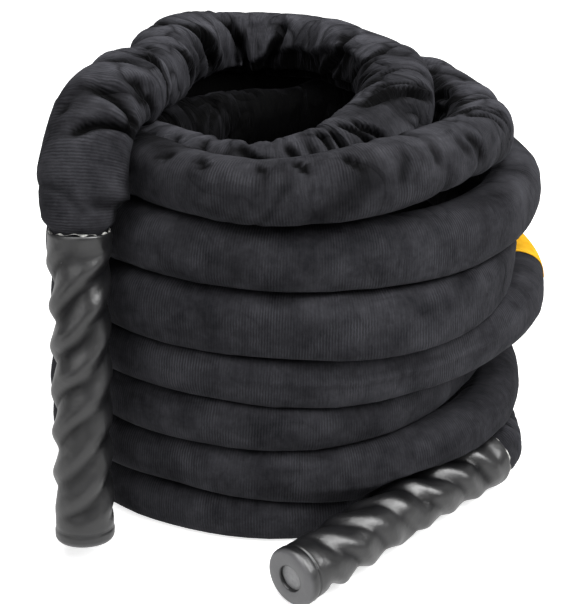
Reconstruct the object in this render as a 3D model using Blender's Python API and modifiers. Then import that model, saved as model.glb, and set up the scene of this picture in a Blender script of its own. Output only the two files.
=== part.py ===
# Training rope in a fabric sleeve, coiled on the floor, with a shrunk-on hand grip at each end.
# Units are metres, +Z is up and the camera side of the coil is -Y.

import math

import bmesh
import bpy
import numpy as np
from mathutils import Matrix, Vector
from mathutils.bvhtree import BVHTree

# Rope and sleeve
rope_flats = 0.0362          # six-sided rope of the area of a 38 mm round one
sleeve_wall = 0.0012
sleeve_clearance = 0.0007    # between rope and sleeve
rest_flat_share = 0.08       # part of the sleeve's width that the floor presses flat
end_width_share = 0.815      # rope and sleeve squeezed inside a grip's mouth

# Coil
turn_radius = 0.1825
turn_gap = 0.0013            # between stacked turns
turn_count = 7
points_per_turn = 24
last_stretch_turn = 372.0    # degrees that the floor turn goes on before it leaves for the grip

# Grips
grip_length = 0.227
grip_wall = 0.0020
fit_gap = 0.0003             # between pieces that touch
mouth_radius = 0.0220
mouth_bore = 0.0197
tuck_length = 0.0200         # sleeve end held inside the mouth
straight_length = 0.0200     # sleeve that runs straight outside the mouth
lobe_mean_radius = 0.0199
lobe_height = 0.0012         # swell of the three strands under the shrunk tube
rope_lay = 0.0930            # one strand's full turn, right-handed
fade_start_back = 0.0320     # distances back from the end: the lobes fade into the end band
fade_end_back = 0.0140
end_band_radius = 0.0208
end_groove_radius = 0.0203
end_groove_back = 0.0098
end_flare_radius = 0.0212
end_flare_back = 0.0080
end_round_back = 0.0040
lip_hole_radius = 0.0093
lip_thickness = 0.0032
disc_thickness = 0.0020
bead_radius = 0.0009
bead_ring_radius = 0.0202
rope_joint_depth = 0.0015    # how far the plain rope runs into its lobed end
around_count = 18
middle_ring_count = 21

sleeve_flats = rope_flats + 2 * (sleeve_clearance + sleeve_wall)
turn_step = sleeve_flats + turn_gap
floor_height = sleeve_flats * (0.5 - rest_flat_share)
to_corner = 1 / math.cos(math.radians(30))

# Drop from one turn to the next, top turn first, as shares of the step
drop_shares = (1.035, 1.03, 1.0, 1.0, 1.0, 1.02)
# Start and end of each drop, in degrees from the right-hand side, clockwise seen from above
drop_angles = ((213, 348), (213, 348), (213, 348), (213, 348), (213, 348), (235, 326))
# How far the odd turns tuck in at the right, as shares of the sleeve's width: share, centre, half width
tuck_shares = {0: (0.70, 5, 85), 2: (0.65, 5, 85), 4: (0.86, 18, 85)}
inner_tuck_share = 1.29      # the sixth turn drops inside the last stretch of the floor turn

# Lead from the hanging grip over the rim, round the top loop and the inner turn to the top turn.
# x and y are shares of the turn radius, z is in turn steps above the floor turn.
lead_shares = (
    (-0.786, -0.880, 6.32), (-0.767, -0.778, 6.83), (-0.733, -0.619, 7.13), (-0.697, -0.438, 7.15),
    (-0.679, -0.208, 7.12), (-0.663, 0.027, 7.10), (-0.645, 0.274, 7.08), (-0.610, 0.520, 7.06),
    (-0.525, 0.725, 7.04), (-0.345, 0.885, 6.98), (-0.115, 0.895, 6.94), (0.110, 0.790, 6.93),
    (0.320, 0.545, 6.93), (0.455, 0.247, 6.91), (0.482, -0.044, 6.84), (0.433, -0.318, 6.67),
    (0.285, -0.581, 6.45), (0.077, -0.700, 6.24), (-0.165, -0.690, 6.05), (-0.376, -0.530, 5.90),
    (-0.568, -0.325, 5.77), (-0.663, -0.055, 5.67), (-0.603, 0.285, 5.58), (-0.416, 0.548, 5.54),
    (-0.153, 0.674, 5.54), (0.153, 0.725, 5.62), (0.452, 0.685, 5.97), (0.662, 0.555, 6.17),
    (0.795, 0.350, 6.22),
)
lead_span_count = 2          # steps of the smooth curve between two lead points

# Grips: mouth centre as shares of the turn radius, and the way that they point
hang_mouth_shares = (-0.7945, -0.9530)
hang_mouth_steps = 5.34
hang_direction = Vector((-0.022, -0.152, -0.988)).normalized()
floor_mouth_shares = (0.8560, -0.6035)
floor_direction = Vector((-0.6935, -0.7205, 0.0)).normalized()


def smooth(start, end, x):
    t = min(max((x - start) / (end - start), 0.0), 1.0)
    return t * t * (3 - 2 * t)


def bump(centre, half, x):
    d = abs(x - centre) / half
    return 0.5 + 0.5 * math.cos(math.pi * d) if d < 1 else 0.0


def coil_point(w):
    """Point of the stacked turns, w degrees of winding after the right-hand end of the top turn."""
    z = floor_height + turn_step * sum(drop_shares)
    r = turn_radius
    for k, (share, (a, b)) in enumerate(zip(drop_shares, drop_angles)):
        z -= turn_step * share * smooth(360 * k + a, 360 * k + b, w)
    for k, (share, centre, half) in tuck_shares.items():
        r -= share * sleeve_flats * bump(360 * k + centre, half, w)
    floor_turn = 360 * (turn_count - 1)
    swing = smooth(floor_turn - 182, floor_turn - 88, w) - smooth(floor_turn + 32, floor_turn + 98, w)
    r -= inner_tuck_share * sleeve_flats * swing
    # Turns pushed in behind the hanging end
    r -= sleeve_flats * (0.58 * bump(141, 47, w) + 0.28 * bump(190, 52, w) + 0.15 * bump(495, 42, w))
    # The sixth turn lies over the floor grip, and all those above it follow
    r -= sleeve_flats * (0.35 * bump(floor_turn - 368, 60, w) - 0.10 * bump(floor_turn - 180, 80, w))
    for k in range(1, turn_count - 1):
        z += 0.19 * sleeve_flats * bump(360 * k + 48, 50, w)
    z += 0.24 * sleeve_flats * bump(25, 80, w)
    # The floor turn is a little smaller once it has swung out
    r -= 0.11 * sleeve_flats * smooth(floor_turn + 60, floor_turn + 90, w)
    a = math.radians(-w)
    return Vector((r * math.cos(a), r * math.sin(a), z))


def smooth_curve(points, spans):
    """Points of a centripetal curve through the given ones, the last left out."""
    found = []
    ends = [2 * points[0] - points[1]] + list(points) + [2 * points[-1] - points[-2]]
    for p0, p1, p2, p3 in zip(ends, ends[1:], ends[2:], ends[3:]):
        t1 = (p1 - p0).length ** 0.5
        t2 = t1 + (p2 - p1).length ** 0.5
        t3 = t2 + (p3 - p2).length ** 0.5
        for i in range(spans):
            s = t1 + (t2 - t1) * i / spans
            a1 = p0.lerp(p1, s / t1)
            a2 = p1.lerp(p2, (s - t1) / (t2 - t1))
            a3 = p2.lerp(p3, (s - t2) / (t3 - t2))
            b1 = a1.lerp(a2, s / t2)
            b2 = a2.lerp(a3, (s - t1) / (t3 - t1))
            found.append(b1.lerp(b2, (s - t1) / (t2 - t1)))
    return found


hang_mouth = Vector((hang_mouth_shares[0] * turn_radius, hang_mouth_shares[1] * turn_radius,
                     floor_height + hang_mouth_steps * turn_step))
floor_mouth = Vector((floor_mouth_shares[0] * turn_radius, floor_mouth_shares[1] * turn_radius,
                      mouth_radius + fit_gap))


def route():
    """The sleeve's centreline from the hanging grip's mouth to the floor grip's, with width shares."""
    step = 360.0 / points_per_turn
    count = int((360.0 * (turn_count - 1) + last_stretch_turn) / step)
    coil = [coil_point(i * step) for i in range(count + 1)]
    lead = [Vector((x * turn_radius, y * turn_radius, floor_height + z * turn_step))
            for x, y, z in lead_shares]
    straight = hang_mouth - hang_direction * straight_length
    through = smooth_curve([straight] + lead + coil[:2], lead_span_count)
    lead_points = through[1:(len(lead) + 1) * lead_span_count]
    leave = floor_mouth - floor_direction * straight_length
    swing = (coil[-1] + leave) / 2 + Vector((0.30, -0.02, 0.0)) * sleeve_flats * 0.42
    tail = smooth_curve([coil[-2], coil[-1], swing, leave, floor_mouth], 2)[3:6]
    neck = 0.15 * straight_length
    points = [(hang_mouth + hang_direction * tuck_length, end_width_share),
              (hang_mouth - hang_direction * neck, end_width_share), (straight, 0.97)]
    points += [(p, 1.0) for p in lead_points + coil + tail]
    points += [(leave, 0.97), (floor_mouth - floor_direction * neck, end_width_share),
               (floor_mouth + floor_direction * tuck_length, end_width_share)]
    return points


def material(name, colour, roughness, metallic=0.0):
    made = bpy.data.materials.new(name)
    made.use_nodes = True
    shader = made.node_tree.nodes["Principled BSDF"]
    shader.inputs["Base Color"].default_value = (*colour, 1.0)
    shader.inputs["Roughness"].default_value = roughness
    shader.inputs["Metallic"].default_value = metallic
    made.diffuse_color = (*colour, 1.0)
    return made


def add_object(name, mesh, made, collection):
    obj = bpy.data.objects.new(name, mesh)
    if made:
        obj.data.materials.append(made)
    collection.objects.link(obj)
    return obj


def tube_mesh(name, points, corner_radius, caps):
    """A six-sided tube along the points, flat side down, as a mesh."""
    curve = bpy.data.curves.new(name, "CURVE")
    curve.dimensions = "3D"
    curve.twist_mode = "Z_UP"
    curve.bevel_depth = corner_radius
    curve.bevel_resolution = 1
    curve.use_fill_caps = caps
    spline = curve.splines.new("POLY")
    spline.points.add(len(points) - 1)
    for point, (place, share) in zip(spline.points, points):
        point.co = (*place, 1.0)
        point.radius = share
    holder = bpy.data.objects.new(name, curve)
    bpy.context.scene.collection.objects.link(holder)
    bpy.context.view_layer.update()
    mesh = bpy.data.meshes.new_from_object(holder.evaluated_get(bpy.context.evaluated_depsgraph_get()))
    bpy.data.objects.remove(holder)
    bm = bmesh.new()
    bm.from_mesh(mesh)
    bmesh.ops.remove_doubles(bm, verts=bm.verts, dist=1e-6)
    bmesh.ops.recalc_face_normals(bm, faces=bm.faces)
    bm.to_mesh(mesh)
    bm.free()
    return mesh


def press_flat(mesh, floor):
    """The floor turn's underside, flattened where it lies."""
    for vertex in mesh.vertices:
        vertex.co.z = max(vertex.co.z, floor)


def least_gap_to_itself(mesh, points):
    """Least distance between parts of the tube that lie over half a turn apart along it."""
    mesh.calc_loop_triangles()
    corners = [v.co.copy() for v in mesh.vertices]
    sides = len(corners) // len(points)
    half = points_per_turn // 2
    triangles = [tuple(t.vertices) for t in mesh.loop_triangles]
    middle = [min(t) // sides for t in triangles]
    least = 1.0
    for start in range(0, len(points), half):
        away = [t for t, m in zip(triangles, middle) if m > start + 2 * half or m < start - half - 2]
        if not away:
            continue
        others = BVHTree.FromPolygons(corners, away)
        for t, m in zip(triangles, middle):
            if not start <= m < start + half:
                continue
            a, b, c = (corners[i] for i in t)
            for p in (a, (a + b) / 2, (b + c) / 2, (c + a) / 2, (a + b + c) / 3):
                found = others.find_nearest(p)
                if found[3] is not None:
                    least = min(least, found[3])
    return least


def into_band(s):
    """How far a ring is on its way from the laid bumps to the round end band, from 0 to 1."""
    return smooth(grip_length - fade_start_back, grip_length - fade_end_back, s)


def lobe(s, phi, phase):
    """Swell of the three laid strands, fading out at the mouth and at the end band."""
    height = lobe_height * smooth(tuck_length, 2.4 * tuck_length, s) * (1 - into_band(s))
    return height * math.cos(3 * (phi - 2 * math.pi * s / rope_lay) + phase)


def ring_heights():
    """Distances from the mouth of the rings that grip and rope end share."""
    start = [0.0, 0.4 * tuck_length, 0.8 * tuck_length, tuck_length + fit_gap, 1.35 * tuck_length]
    first, last = 1.7 * tuck_length, grip_length - 0.8 * fade_start_back
    middle = [first + (last - first) * i / middle_ring_count for i in range(middle_ring_count + 1)]
    return start + middle + [grip_length - 0.6 * fade_start_back, grip_length - 0.93 * fade_end_back]


def outer_radius(s, phi, phase):
    flare = mouth_radius - lobe_mean_radius
    r = lobe_mean_radius + flare * (1 - smooth(0.3 * tuck_length, 2.0 * tuck_length, s))
    r += (end_band_radius - lobe_mean_radius) * into_band(s)
    return r + lobe(s, phi, phase)


def rope_radius(s, phi, phase):
    swell = (end_band_radius - lobe_mean_radius) * into_band(s)
    return lobe_mean_radius - grip_wall - fit_gap + swell + lobe(s, phi, phase)


def bore_radius(s, phi, phase):
    if s <= tuck_length + 2 * fit_gap:
        return mouth_bore
    return rope_radius(s, phi, phase) + fit_gap


def loft(name, rings):
    """A closed skin over rings of equal point counts, each ring joined to the next and both ends capped."""
    bm = bmesh.new()
    rows = [[bm.verts.new(p) for p in ring] for ring in rings]
    count = len(rows[0])
    for low, high in zip(rows, rows[1:]):
        for i in range(count):
            j = (i + 1) % count
            bm.faces.new((low[i], low[j], high[j]))
            bm.faces.new((low[i], high[j], high[i]))
    bm.faces.new(list(reversed(rows[0])))
    bm.faces.new(rows[-1])
    mesh = bpy.data.meshes.new(name)
    bmesh.ops.recalc_face_normals(bm, faces=bm.faces)
    bm.to_mesh(mesh)
    bm.free()
    return mesh


def ring(radius_of, s, phase):
    angles = [2 * math.pi * i / around_count for i in range(around_count)]
    return [(radius_of(s, a, phase) * math.cos(a), radius_of(s, a, phase) * math.sin(a), s) for a in angles]


def plain_ring(radius, s):
    return ring(lambda *_: radius, s, 0.0)


def grip_mesh(name, phase):
    """The shrunk tube: flared mouth, laid bumps, end band with a groove, and a rolled lip with a hole."""
    heights = ring_heights()
    outside = [ring(outer_radius, s, phase) for s in heights]
    outside += [plain_ring(end_groove_radius, grip_length - end_groove_back),
                plain_ring(end_flare_radius, grip_length - end_flare_back),
                plain_ring(end_flare_radius, grip_length - end_round_back),
                plain_ring(0.945 * end_flare_radius, grip_length - 0.3 * end_round_back),
                plain_ring(0.820 * end_flare_radius, grip_length)]
    pocket = rope_radius(grip_length, 0.0, phase) + fit_gap
    floor = grip_length - lip_thickness
    inside = [ring(bore_radius, s, phase) for s in heights]
    inside += [plain_ring(pocket, floor), plain_ring(lip_hole_radius, floor)]
    skin = outside + [plain_ring(lip_hole_radius, grip_length)] + inside[::-1]
    bm = bmesh.new()
    rows = [[bm.verts.new(p) for p in points] for points in skin]
    turned = len(outside) + 1
    for k in range(len(rows)):
        low, high = rows[k], rows[(k + 1) % len(rows)]
        for i in range(around_count):
            j = (i + 1) % around_count
            # Both walls are split along the same diagonal, so that the rope's lobes fit the bore
            if k < turned:
                bm.faces.new((low[i], low[j], high[j]))
                bm.faces.new((low[i], high[j], high[i]))
            else:
                bm.faces.new((low[i], low[j], high[i]))
                bm.faces.new((low[j], high[j], high[i]))
    bmesh.ops.recalc_face_normals(bm, faces=bm.faces)
    mesh = bpy.data.meshes.new(name)
    bm.to_mesh(mesh)
    bm.free()
    return mesh


def rope_end_mesh(name, phase):
    """The rope inside a grip, with its three strands showing as lobes."""
    heights = [s for s in ring_heights() if s > tuck_length]
    end = grip_length - lip_thickness - 2 * fit_gap - disc_thickness
    rings = [ring(rope_radius, s, phase) for s in heights if s < end]
    return loft(name, rings + [ring(rope_radius, end, phase)])


def frame_of(mouth, direction):
    """Placement with the local Z axis running from a mouth into its grip."""
    return Matrix.Translation(mouth) @ direction.to_track_quat("Z", "Y").to_matrix().to_4x4()


def build():
    for obj in list(bpy.data.objects):
        bpy.data.objects.remove(obj, do_unlink=True)
    parts = bpy.data.collections.new("battle_rope")
    cutters = bpy.data.collections.new("cutters")
    for collection in (parts, cutters):
        bpy.context.scene.collection.children.link(collection)
    cutters.hide_render = True

    fabric = material("black_sleeve_fabric", (0.030, 0.030, 0.036), 0.85)
    fibre = material("black_rope_fibre", (0.016, 0.016, 0.017), 0.80)
    shrink = material("black_shrink_tube", (0.040, 0.040, 0.041), 0.36)
    plug = material("grey_end_disc", (0.300, 0.300, 0.300), 0.50)
    glue = material("hot_melt_glue", (0.480, 0.480, 0.460), 0.30)

    points = route()
    length = sum((b[0] - a[0]).length for a, b in zip(points, points[1:]))

    sleeve_skin = tube_mesh("fabric_sleeve", points, sleeve_flats / 2 * to_corner, False)
    press_flat(sleeve_skin, 0.0)
    whole = length - 2 * tuck_length + 2 * grip_length
    print(f"sleeve {length:.3f} m long, rope with its grips {whole:.3f} m")
    print(f"least gap of the coil to itself {1000 * least_gap_to_itself(sleeve_skin, points):.2f} mm")
    sleeve = add_object("fabric_sleeve", sleeve_skin, fabric, parts)
    shell = sleeve.modifiers.new("Wall", "SOLIDIFY")
    shell.thickness = sleeve_wall
    shell.offset = -1.0
    shell.use_even_offset = True

    # The rope runs on into both grips, where its lobed ends are joined to it
    deep = tuck_length + 4 * fit_gap + rope_joint_depth
    ends = [(hang_mouth + hang_direction * deep, end_width_share)]
    far = [(floor_mouth + floor_direction * deep, end_width_share)]
    rope_mesh = tube_mesh("rope_core", ends + points[1:-1] + far, rope_flats / 2 * to_corner, True)
    press_flat(rope_mesh, sleeve_wall + sleeve_clearance)
    rope = add_object("rope_core", rope_mesh, fibre, parts)

    phases = {"hanging": (hang_mouth, hang_direction, 0.6), "floor": (floor_mouth, floor_direction, 2.4)}
    for side, (mouth, direction, phase) in phases.items():
        placed = frame_of(mouth, direction)
        grip = add_object(f"grip_{side}", grip_mesh(f"grip_{side}", phase), shrink, parts)
        grip.matrix_world = placed
        rope_end = add_object(f"rope_end_{side}", rope_end_mesh(f"rope_end_{side}", phase), None, cutters)
        rope_end.matrix_world = placed
        rope_end.hide_render = True
        rope_end.display_type = "WIRE"
        joined = rope.modifiers.new(f"End {side}", "BOOLEAN")
        joined.operation = "UNION"
        joined.solver = "EXACT"
        joined.object = rope_end

        disc_radius = rope_radius(grip_length, 0.0, phase) - fit_gap
        bpy.ops.mesh.primitive_cylinder_add(vertices=around_count, radius=disc_radius, depth=disc_thickness)
        disc = bpy.context.object
        disc.name = disc.data.name = f"end_disc_{side}"
        disc.data.materials.append(plug)
        disc_middle = grip_length - lip_thickness - fit_gap - disc_thickness / 2
        disc.matrix_world = placed @ Matrix.Translation((0, 0, disc_middle))

        bpy.ops.mesh.primitive_torus_add(major_radius=bead_ring_radius, minor_radius=bead_radius,
                                         major_segments=24, minor_segments=6)
        bead = bpy.context.object
        bead.name = bead.data.name = f"glue_bead_{side}"
        bead.data.materials.append(glue)
        bead.matrix_world = placed @ Matrix.Translation((0, 0, -bead_radius - fit_gap))
        for obj in (disc, bead):
            for holder in obj.users_collection:
                holder.objects.unlink(obj)
            parts.objects.link(obj)
    centre_on_footprint(parts)


def centre_on_footprint(parts):
    """Moves everything so that the origin is the middle of the object's box, at floor level."""
    bpy.context.view_layer.update()
    graph = bpy.context.evaluated_depsgraph_get()
    corners = []
    for obj in parts.objects:
        shown = obj.evaluated_get(graph)
        corners += [tuple(obj.matrix_world @ v.co) for v in shown.to_mesh().vertices]
        shown.to_mesh_clear()
    low, high = np.min(corners, axis=0), np.max(corners, axis=0)
    shift = Vector((-(low[0] + high[0]) / 2, -(low[1] + high[1]) / 2, 0.0))
    print("shift", [round(v, 5) for v in shift], "size", [round(float(v), 4) for v in high - low])
    for obj in bpy.data.objects:
        obj.matrix_world = Matrix.Translation(shift) @ obj.matrix_world


build()
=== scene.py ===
# Training rope in a fabric sleeve, coiled on the floor, with a shrunk-on hand grip at each end.
# Units are metres, +Z is up and the camera side of the coil is -Y.

import math
from functools import partial

import bmesh
import bpy
import numpy as np
from bpy.props import FloatProperty, FloatVectorProperty, IntProperty, PointerProperty
from mathutils import Matrix, Vector


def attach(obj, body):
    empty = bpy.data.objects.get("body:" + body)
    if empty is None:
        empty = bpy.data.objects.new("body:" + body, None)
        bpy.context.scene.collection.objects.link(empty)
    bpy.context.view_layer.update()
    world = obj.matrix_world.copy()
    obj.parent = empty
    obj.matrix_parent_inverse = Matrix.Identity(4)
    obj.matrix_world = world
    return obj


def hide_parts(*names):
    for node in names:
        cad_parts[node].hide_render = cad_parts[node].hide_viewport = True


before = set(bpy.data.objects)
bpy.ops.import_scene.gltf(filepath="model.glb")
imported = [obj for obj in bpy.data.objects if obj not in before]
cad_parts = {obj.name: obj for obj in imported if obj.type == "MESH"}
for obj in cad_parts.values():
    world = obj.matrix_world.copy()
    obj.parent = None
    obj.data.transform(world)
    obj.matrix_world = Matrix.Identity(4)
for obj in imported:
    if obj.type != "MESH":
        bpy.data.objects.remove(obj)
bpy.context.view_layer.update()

bl_info = {
    "name": "Sleeved training rope",
    "version": (1, 0, 0),
    "blender": (4, 5, 0),
    "location": "View3D > Sidebar > Rope",
    "description": "Builds the fabric sleeve, grips, glue lines and stage of a coiled training rope",
    "category": "Object",
}

PHOTO_WIDTH = 588                        # pixels
FILM_WIDTH = 36.0                        # millimetres

# Route of the rope: the same points as the solid sleeve follows
sleeve_flats = 0.0400
turn_radius = 0.1825
turn_step = 0.0413
turn_count = 7
floor_height = 0.0168
last_stretch_turn = 372.0
drop_shares = (1.035, 1.03, 1.0, 1.0, 1.0, 1.02)
drop_angles = ((213, 348), (213, 348), (213, 348), (213, 348), (213, 348), (235, 326))
floor_turn = 360 * (turn_count - 1)      # degrees of winding where the floor turn starts
# Places that are tucked in: share of the sleeve's width, then centre and half width in degrees of winding
tucked_in = ((0.70, 5, 85), (0.65, 725, 85), (0.86, 1458, 85), (0.58, 141, 47), (0.28, 190, 52),
             (0.15, 495, 42), (0.35, floor_turn - 368, 60), (-0.10, floor_turn - 180, 80))
# Places that are lifted, in the same way
lifted = ((0.24, 25, 80),) + tuple((0.19, 360 * k + 48, 50) for k in range(1, turn_count - 1))
# Steps inward, also as shares of the width, with the start and end of each step
stepped_in = ((1.29, floor_turn - 182, floor_turn - 88), (-1.29, floor_turn + 32, floor_turn + 98),
              (0.11, floor_turn + 60, floor_turn + 90))
lead_shares = (
    (-0.786, -0.880, 6.32), (-0.767, -0.778, 6.83), (-0.733, -0.619, 7.13), (-0.697, -0.438, 7.15),
    (-0.679, -0.208, 7.12), (-0.663, 0.027, 7.10), (-0.645, 0.274, 7.08), (-0.610, 0.520, 7.06),
    (-0.525, 0.725, 7.04), (-0.345, 0.885, 6.98), (-0.115, 0.895, 6.94), (0.110, 0.790, 6.93),
    (0.320, 0.545, 6.93), (0.455, 0.247, 6.91), (0.482, -0.044, 6.84), (0.433, -0.318, 6.67),
    (0.285, -0.581, 6.45), (0.077, -0.700, 6.24), (-0.165, -0.690, 6.05), (-0.376, -0.530, 5.90),
    (-0.568, -0.325, 5.77), (-0.663, -0.055, 5.67), (-0.603, 0.285, 5.58), (-0.416, 0.548, 5.54),
    (-0.153, 0.674, 5.54), (0.153, 0.725, 5.62), (0.452, 0.685, 5.97), (0.662, 0.555, 6.17),
    (0.795, 0.350, 6.22),
)
tuck_length = 0.0200
straight_length = 0.0200
mouth_radius = 0.0220
grip_length = 0.2270
rope_lay = 0.0930
hang_direction = Vector((-0.022, -0.152, -0.988)).normalized()
floor_direction = Vector((-0.6935, -0.7205, 0.0)).normalized()
shift = Vector((0.00195, 0.04056, 0.0))
hang_mouth = Vector((-0.7945 * turn_radius, -0.9530 * turn_radius, floor_height + 5.34 * turn_step)) + shift
floor_mouth = Vector((0.8560 * turn_radius, -0.6035 * turn_radius, mouth_radius + 0.0003)) + shift
ENDS = (("hanging", hang_mouth, hang_direction), ("floor", floor_mouth, floor_direction))

# Knots of the route: lead points first, then the coil's, 15 degrees apart, then those to the floor grip
COIL_KNOT = 15
SPANS = 12                               # steps of the smooth curve from one knot to the next
LEAD_END = len(lead_shares)
COIL_END = COIL_KNOT * int((floor_turn + last_stretch_turn) / COIL_KNOT)
ROUTE_END = LEAD_END + COIL_END / COIL_KNOT + (3 * SPANS - 1) / SPANS + 0.6
UPWARD = np.array([0.0, 0.0, 1.0])


# Small helpers

def linear(hex_colour):
    """An sRGB hex colour as linear red, green, blue, alpha."""
    parts = [int(hex_colour[i:i + 2], 16) / 255 for i in (1, 3, 5)]
    return tuple(c / 12.92 if c <= 0.04045 else ((c + 0.055) / 1.055) ** 2.4 for c in parts) + (1.0,)


def per_metre(millimetres):
    """A pattern's scale on coordinates in metres, from the real size of its grain."""
    return 1000 / millimetres


def smooth(start, end, x):
    """0 before the start and 1 past the end, eased between them."""
    t = np.clip((x - start) / (end - start), 0.0, 1.0)
    return t * t * (3 - 2 * t)


def hump(x, centre, half):
    """1 at the centre, eased to 0 at the half width."""
    return 0.5 + 0.5 * np.cos(math.pi * np.clip(np.abs(x - centre) / half, 0.0, 1.0))


def table(knots, rows):
    """A value along the route, from (knot, value) rows, eased between them."""
    at, value = np.array(rows, float).T
    i = np.clip(np.searchsorted(at, knots) - 1, 0, len(at) - 2)
    t = smooth(at[i], at[i + 1], knots)
    return value[i] * (1 - t) + value[i + 1] * t


def at_places(places, known, points):
    """Points at new places along a line, read off between its known ones."""
    return np.stack([np.interp(places, known, column) for column in points.T], axis=1)


def distances(points):
    """Distance along a row of points, from its first."""
    return np.concatenate([[0.0], np.cumsum(np.linalg.norm(np.diff(points, axis=0), axis=1))])


def add_node(tree, kind, inputs=None, stops=(), **settings):
    """A new shader node with its settings, the stops of its colour ramp, its values and its links. A node
    given as a value stands for its first output."""
    made = tree.nodes.new("ShaderNode" + kind)
    for key, value in settings.items():
        setattr(made, key, value)
    for i, (place, colour) in enumerate(stops):
        made.color_ramp.elements[i].position = place
        made.color_ramp.elements[i].color = colour
    for socket, value in (inputs or {}).items():
        if isinstance(value, bpy.types.Node):
            value = value.outputs[0]
        if isinstance(value, bpy.types.NodeSocket):
            tree.links.new(value, made.inputs[socket])
        else:
            made.inputs[socket].default_value = value
    return made


def emptied(owner):
    """Empties a material's or world's node tree and gives it with add_node tied to it."""
    owner.use_nodes = True
    owner.node_tree.nodes.clear()
    return owner, partial(add_node, owner.node_tree)


def mesh_of(bm, name):
    """The finished bmesh as a mesh."""
    mesh = bpy.data.meshes.new(name)
    bm.to_mesh(mesh)
    bm.free()
    return mesh


def in_scene(name, data):
    """A new object in the scene."""
    obj = bpy.data.objects.new(name, data)
    bpy.context.scene.collection.objects.link(obj)
    return obj


def aimed(name, data, place, target):
    """A light or camera at its place, turned toward a target."""
    holder = in_scene(name, data)
    holder.location = place
    holder.rotation_euler = (Vector(target) - Vector(place)).to_track_quat("-Z", "Y").to_euler()
    return holder


def link_piece(name, mesh, material, slot, *nodes):
    """A finished piece: it rides with the rope, stands for its solids and has its finish."""
    obj = in_scene(name, mesh)
    mesh.materials.clear()
    mesh.materials.append(material)
    mesh.polygons.foreach_set("use_smooth", np.ones(len(mesh.polygons), bool))
    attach(obj, "root")
    if nodes:
        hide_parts(*nodes)
    return obj


def settings():
    """The rope's settings in this scene."""
    return bpy.context.scene.rope_settings


# Route of the sleeve

def coil_points(w):
    """Points of the stacked turns, w degrees of winding after the right-hand end of the top turn."""
    drops = sum(share * smooth(360 * k + a, 360 * k + b, w)
                for k, (share, (a, b)) in enumerate(zip(drop_shares, drop_angles)))
    raised = sum(share * hump(w, centre, half) for share, centre, half in lifted)
    z = floor_height + turn_step * (sum(drop_shares) - drops) + sleeve_flats * raised
    inward = sum(share * hump(w, centre, half) for share, centre, half in tucked_in)
    inward += sum(share * smooth(start, end, w) for share, start, end in stepped_in)
    r, a = turn_radius - sleeve_flats * inward, np.radians(-w)
    return [Vector(p) + shift for p in np.stack([r * np.cos(a), r * np.sin(a), z], axis=1)]


def smooth_curve(points, spans):
    """Points of a centripetal curve through the given ones, the last left out."""
    found = []
    ends = [2 * points[0] - points[1]] + list(points) + [2 * points[-1] - points[-2]]
    for p0, p1, p2, p3 in zip(ends, ends[1:], ends[2:], ends[3:]):
        t1 = (p1 - p0).length ** 0.5
        t2 = t1 + (p2 - p1).length ** 0.5
        t3 = t2 + (p3 - p2).length ** 0.5
        for i in range(spans):
            s = t1 + (t2 - t1) * i / spans
            a1 = p0.lerp(p1, s / t1)
            a2 = p1.lerp(p2, (s - t1) / (t2 - t1))
            a3 = p2.lerp(p3, (s - t2) / (t3 - t2))
            b1 = a1.lerp(a2, s / t2)
            b2 = a2.lerp(a3, (s - t1) / (t3 - t1))
            found.append(b1.lerp(b2, (s - t1) / (t2 - t1)))
    return found


# How the slack turns have settled off the wound form: knot, half width in knots, and millimetres outward
# and upward
SETTLED = (
    (2.1, 1.4, -2.0, 0.0), (3.7, 1.3, 3.5, 2.0), (5.8, 2.0, -2.0, -3.0), (17.6, 2.6, 0.0, -6.0),
    (23.6, 2.8, 0.0, -8.0), (28.2, 3.8, -8.0, -3.0), (29.9, 3.0, 0.0, -10.0), (32.0, 4.6, 0.0, 4.0),
    (34.5, 6.0, 0.0, -1.0), (54.0, 4.0, -4.0, 0.0), (56.3, 4.8, 0.0, -10.0), (65.0, 4.0, -3.0, 0.0),
    (80.2, 3.4, 11.0, -5.0), (80.6, 4.6, 0.0, -6.0), (84.0, 6.0, 0.0, -4.0), (89.0, 4.0, -6.0, 0.0),
    (102.5, 3.5, 4.0, 0.0), (104.2, 4.6, 0.0, -4.0), (104.9, 3.8, -4.0, -9.0), (108.5, 5.5, 0.0, -5.0),
    (113.0, 4.0, -6.0, 0.0), (128.4, 4.6, -2.0, -13.0), (132.0, 5.0, 0.0, -2.5), (137.0, 4.0, -6.0, 0.0),
    (152.4, 4.4, -2.0, -11.0), (161.0, 4.0, -4.0, 0.0), (185.0, 4.0, 5.0, 0.0), (197.0, 4.0, -16.0, 0.0),
)
# The slack cloth of the top loop hangs below and inside the rope's own line: knot and millimetres
SAG = ((1, 0), (3.5, 5.5), (7, 8.5), (13, 8), (16, 3), (18, 0))
ROUTE_STEP = 0.001
KINK_WIDTH = 9                           # steps over which a kink between the curve's parts is evened out


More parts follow.
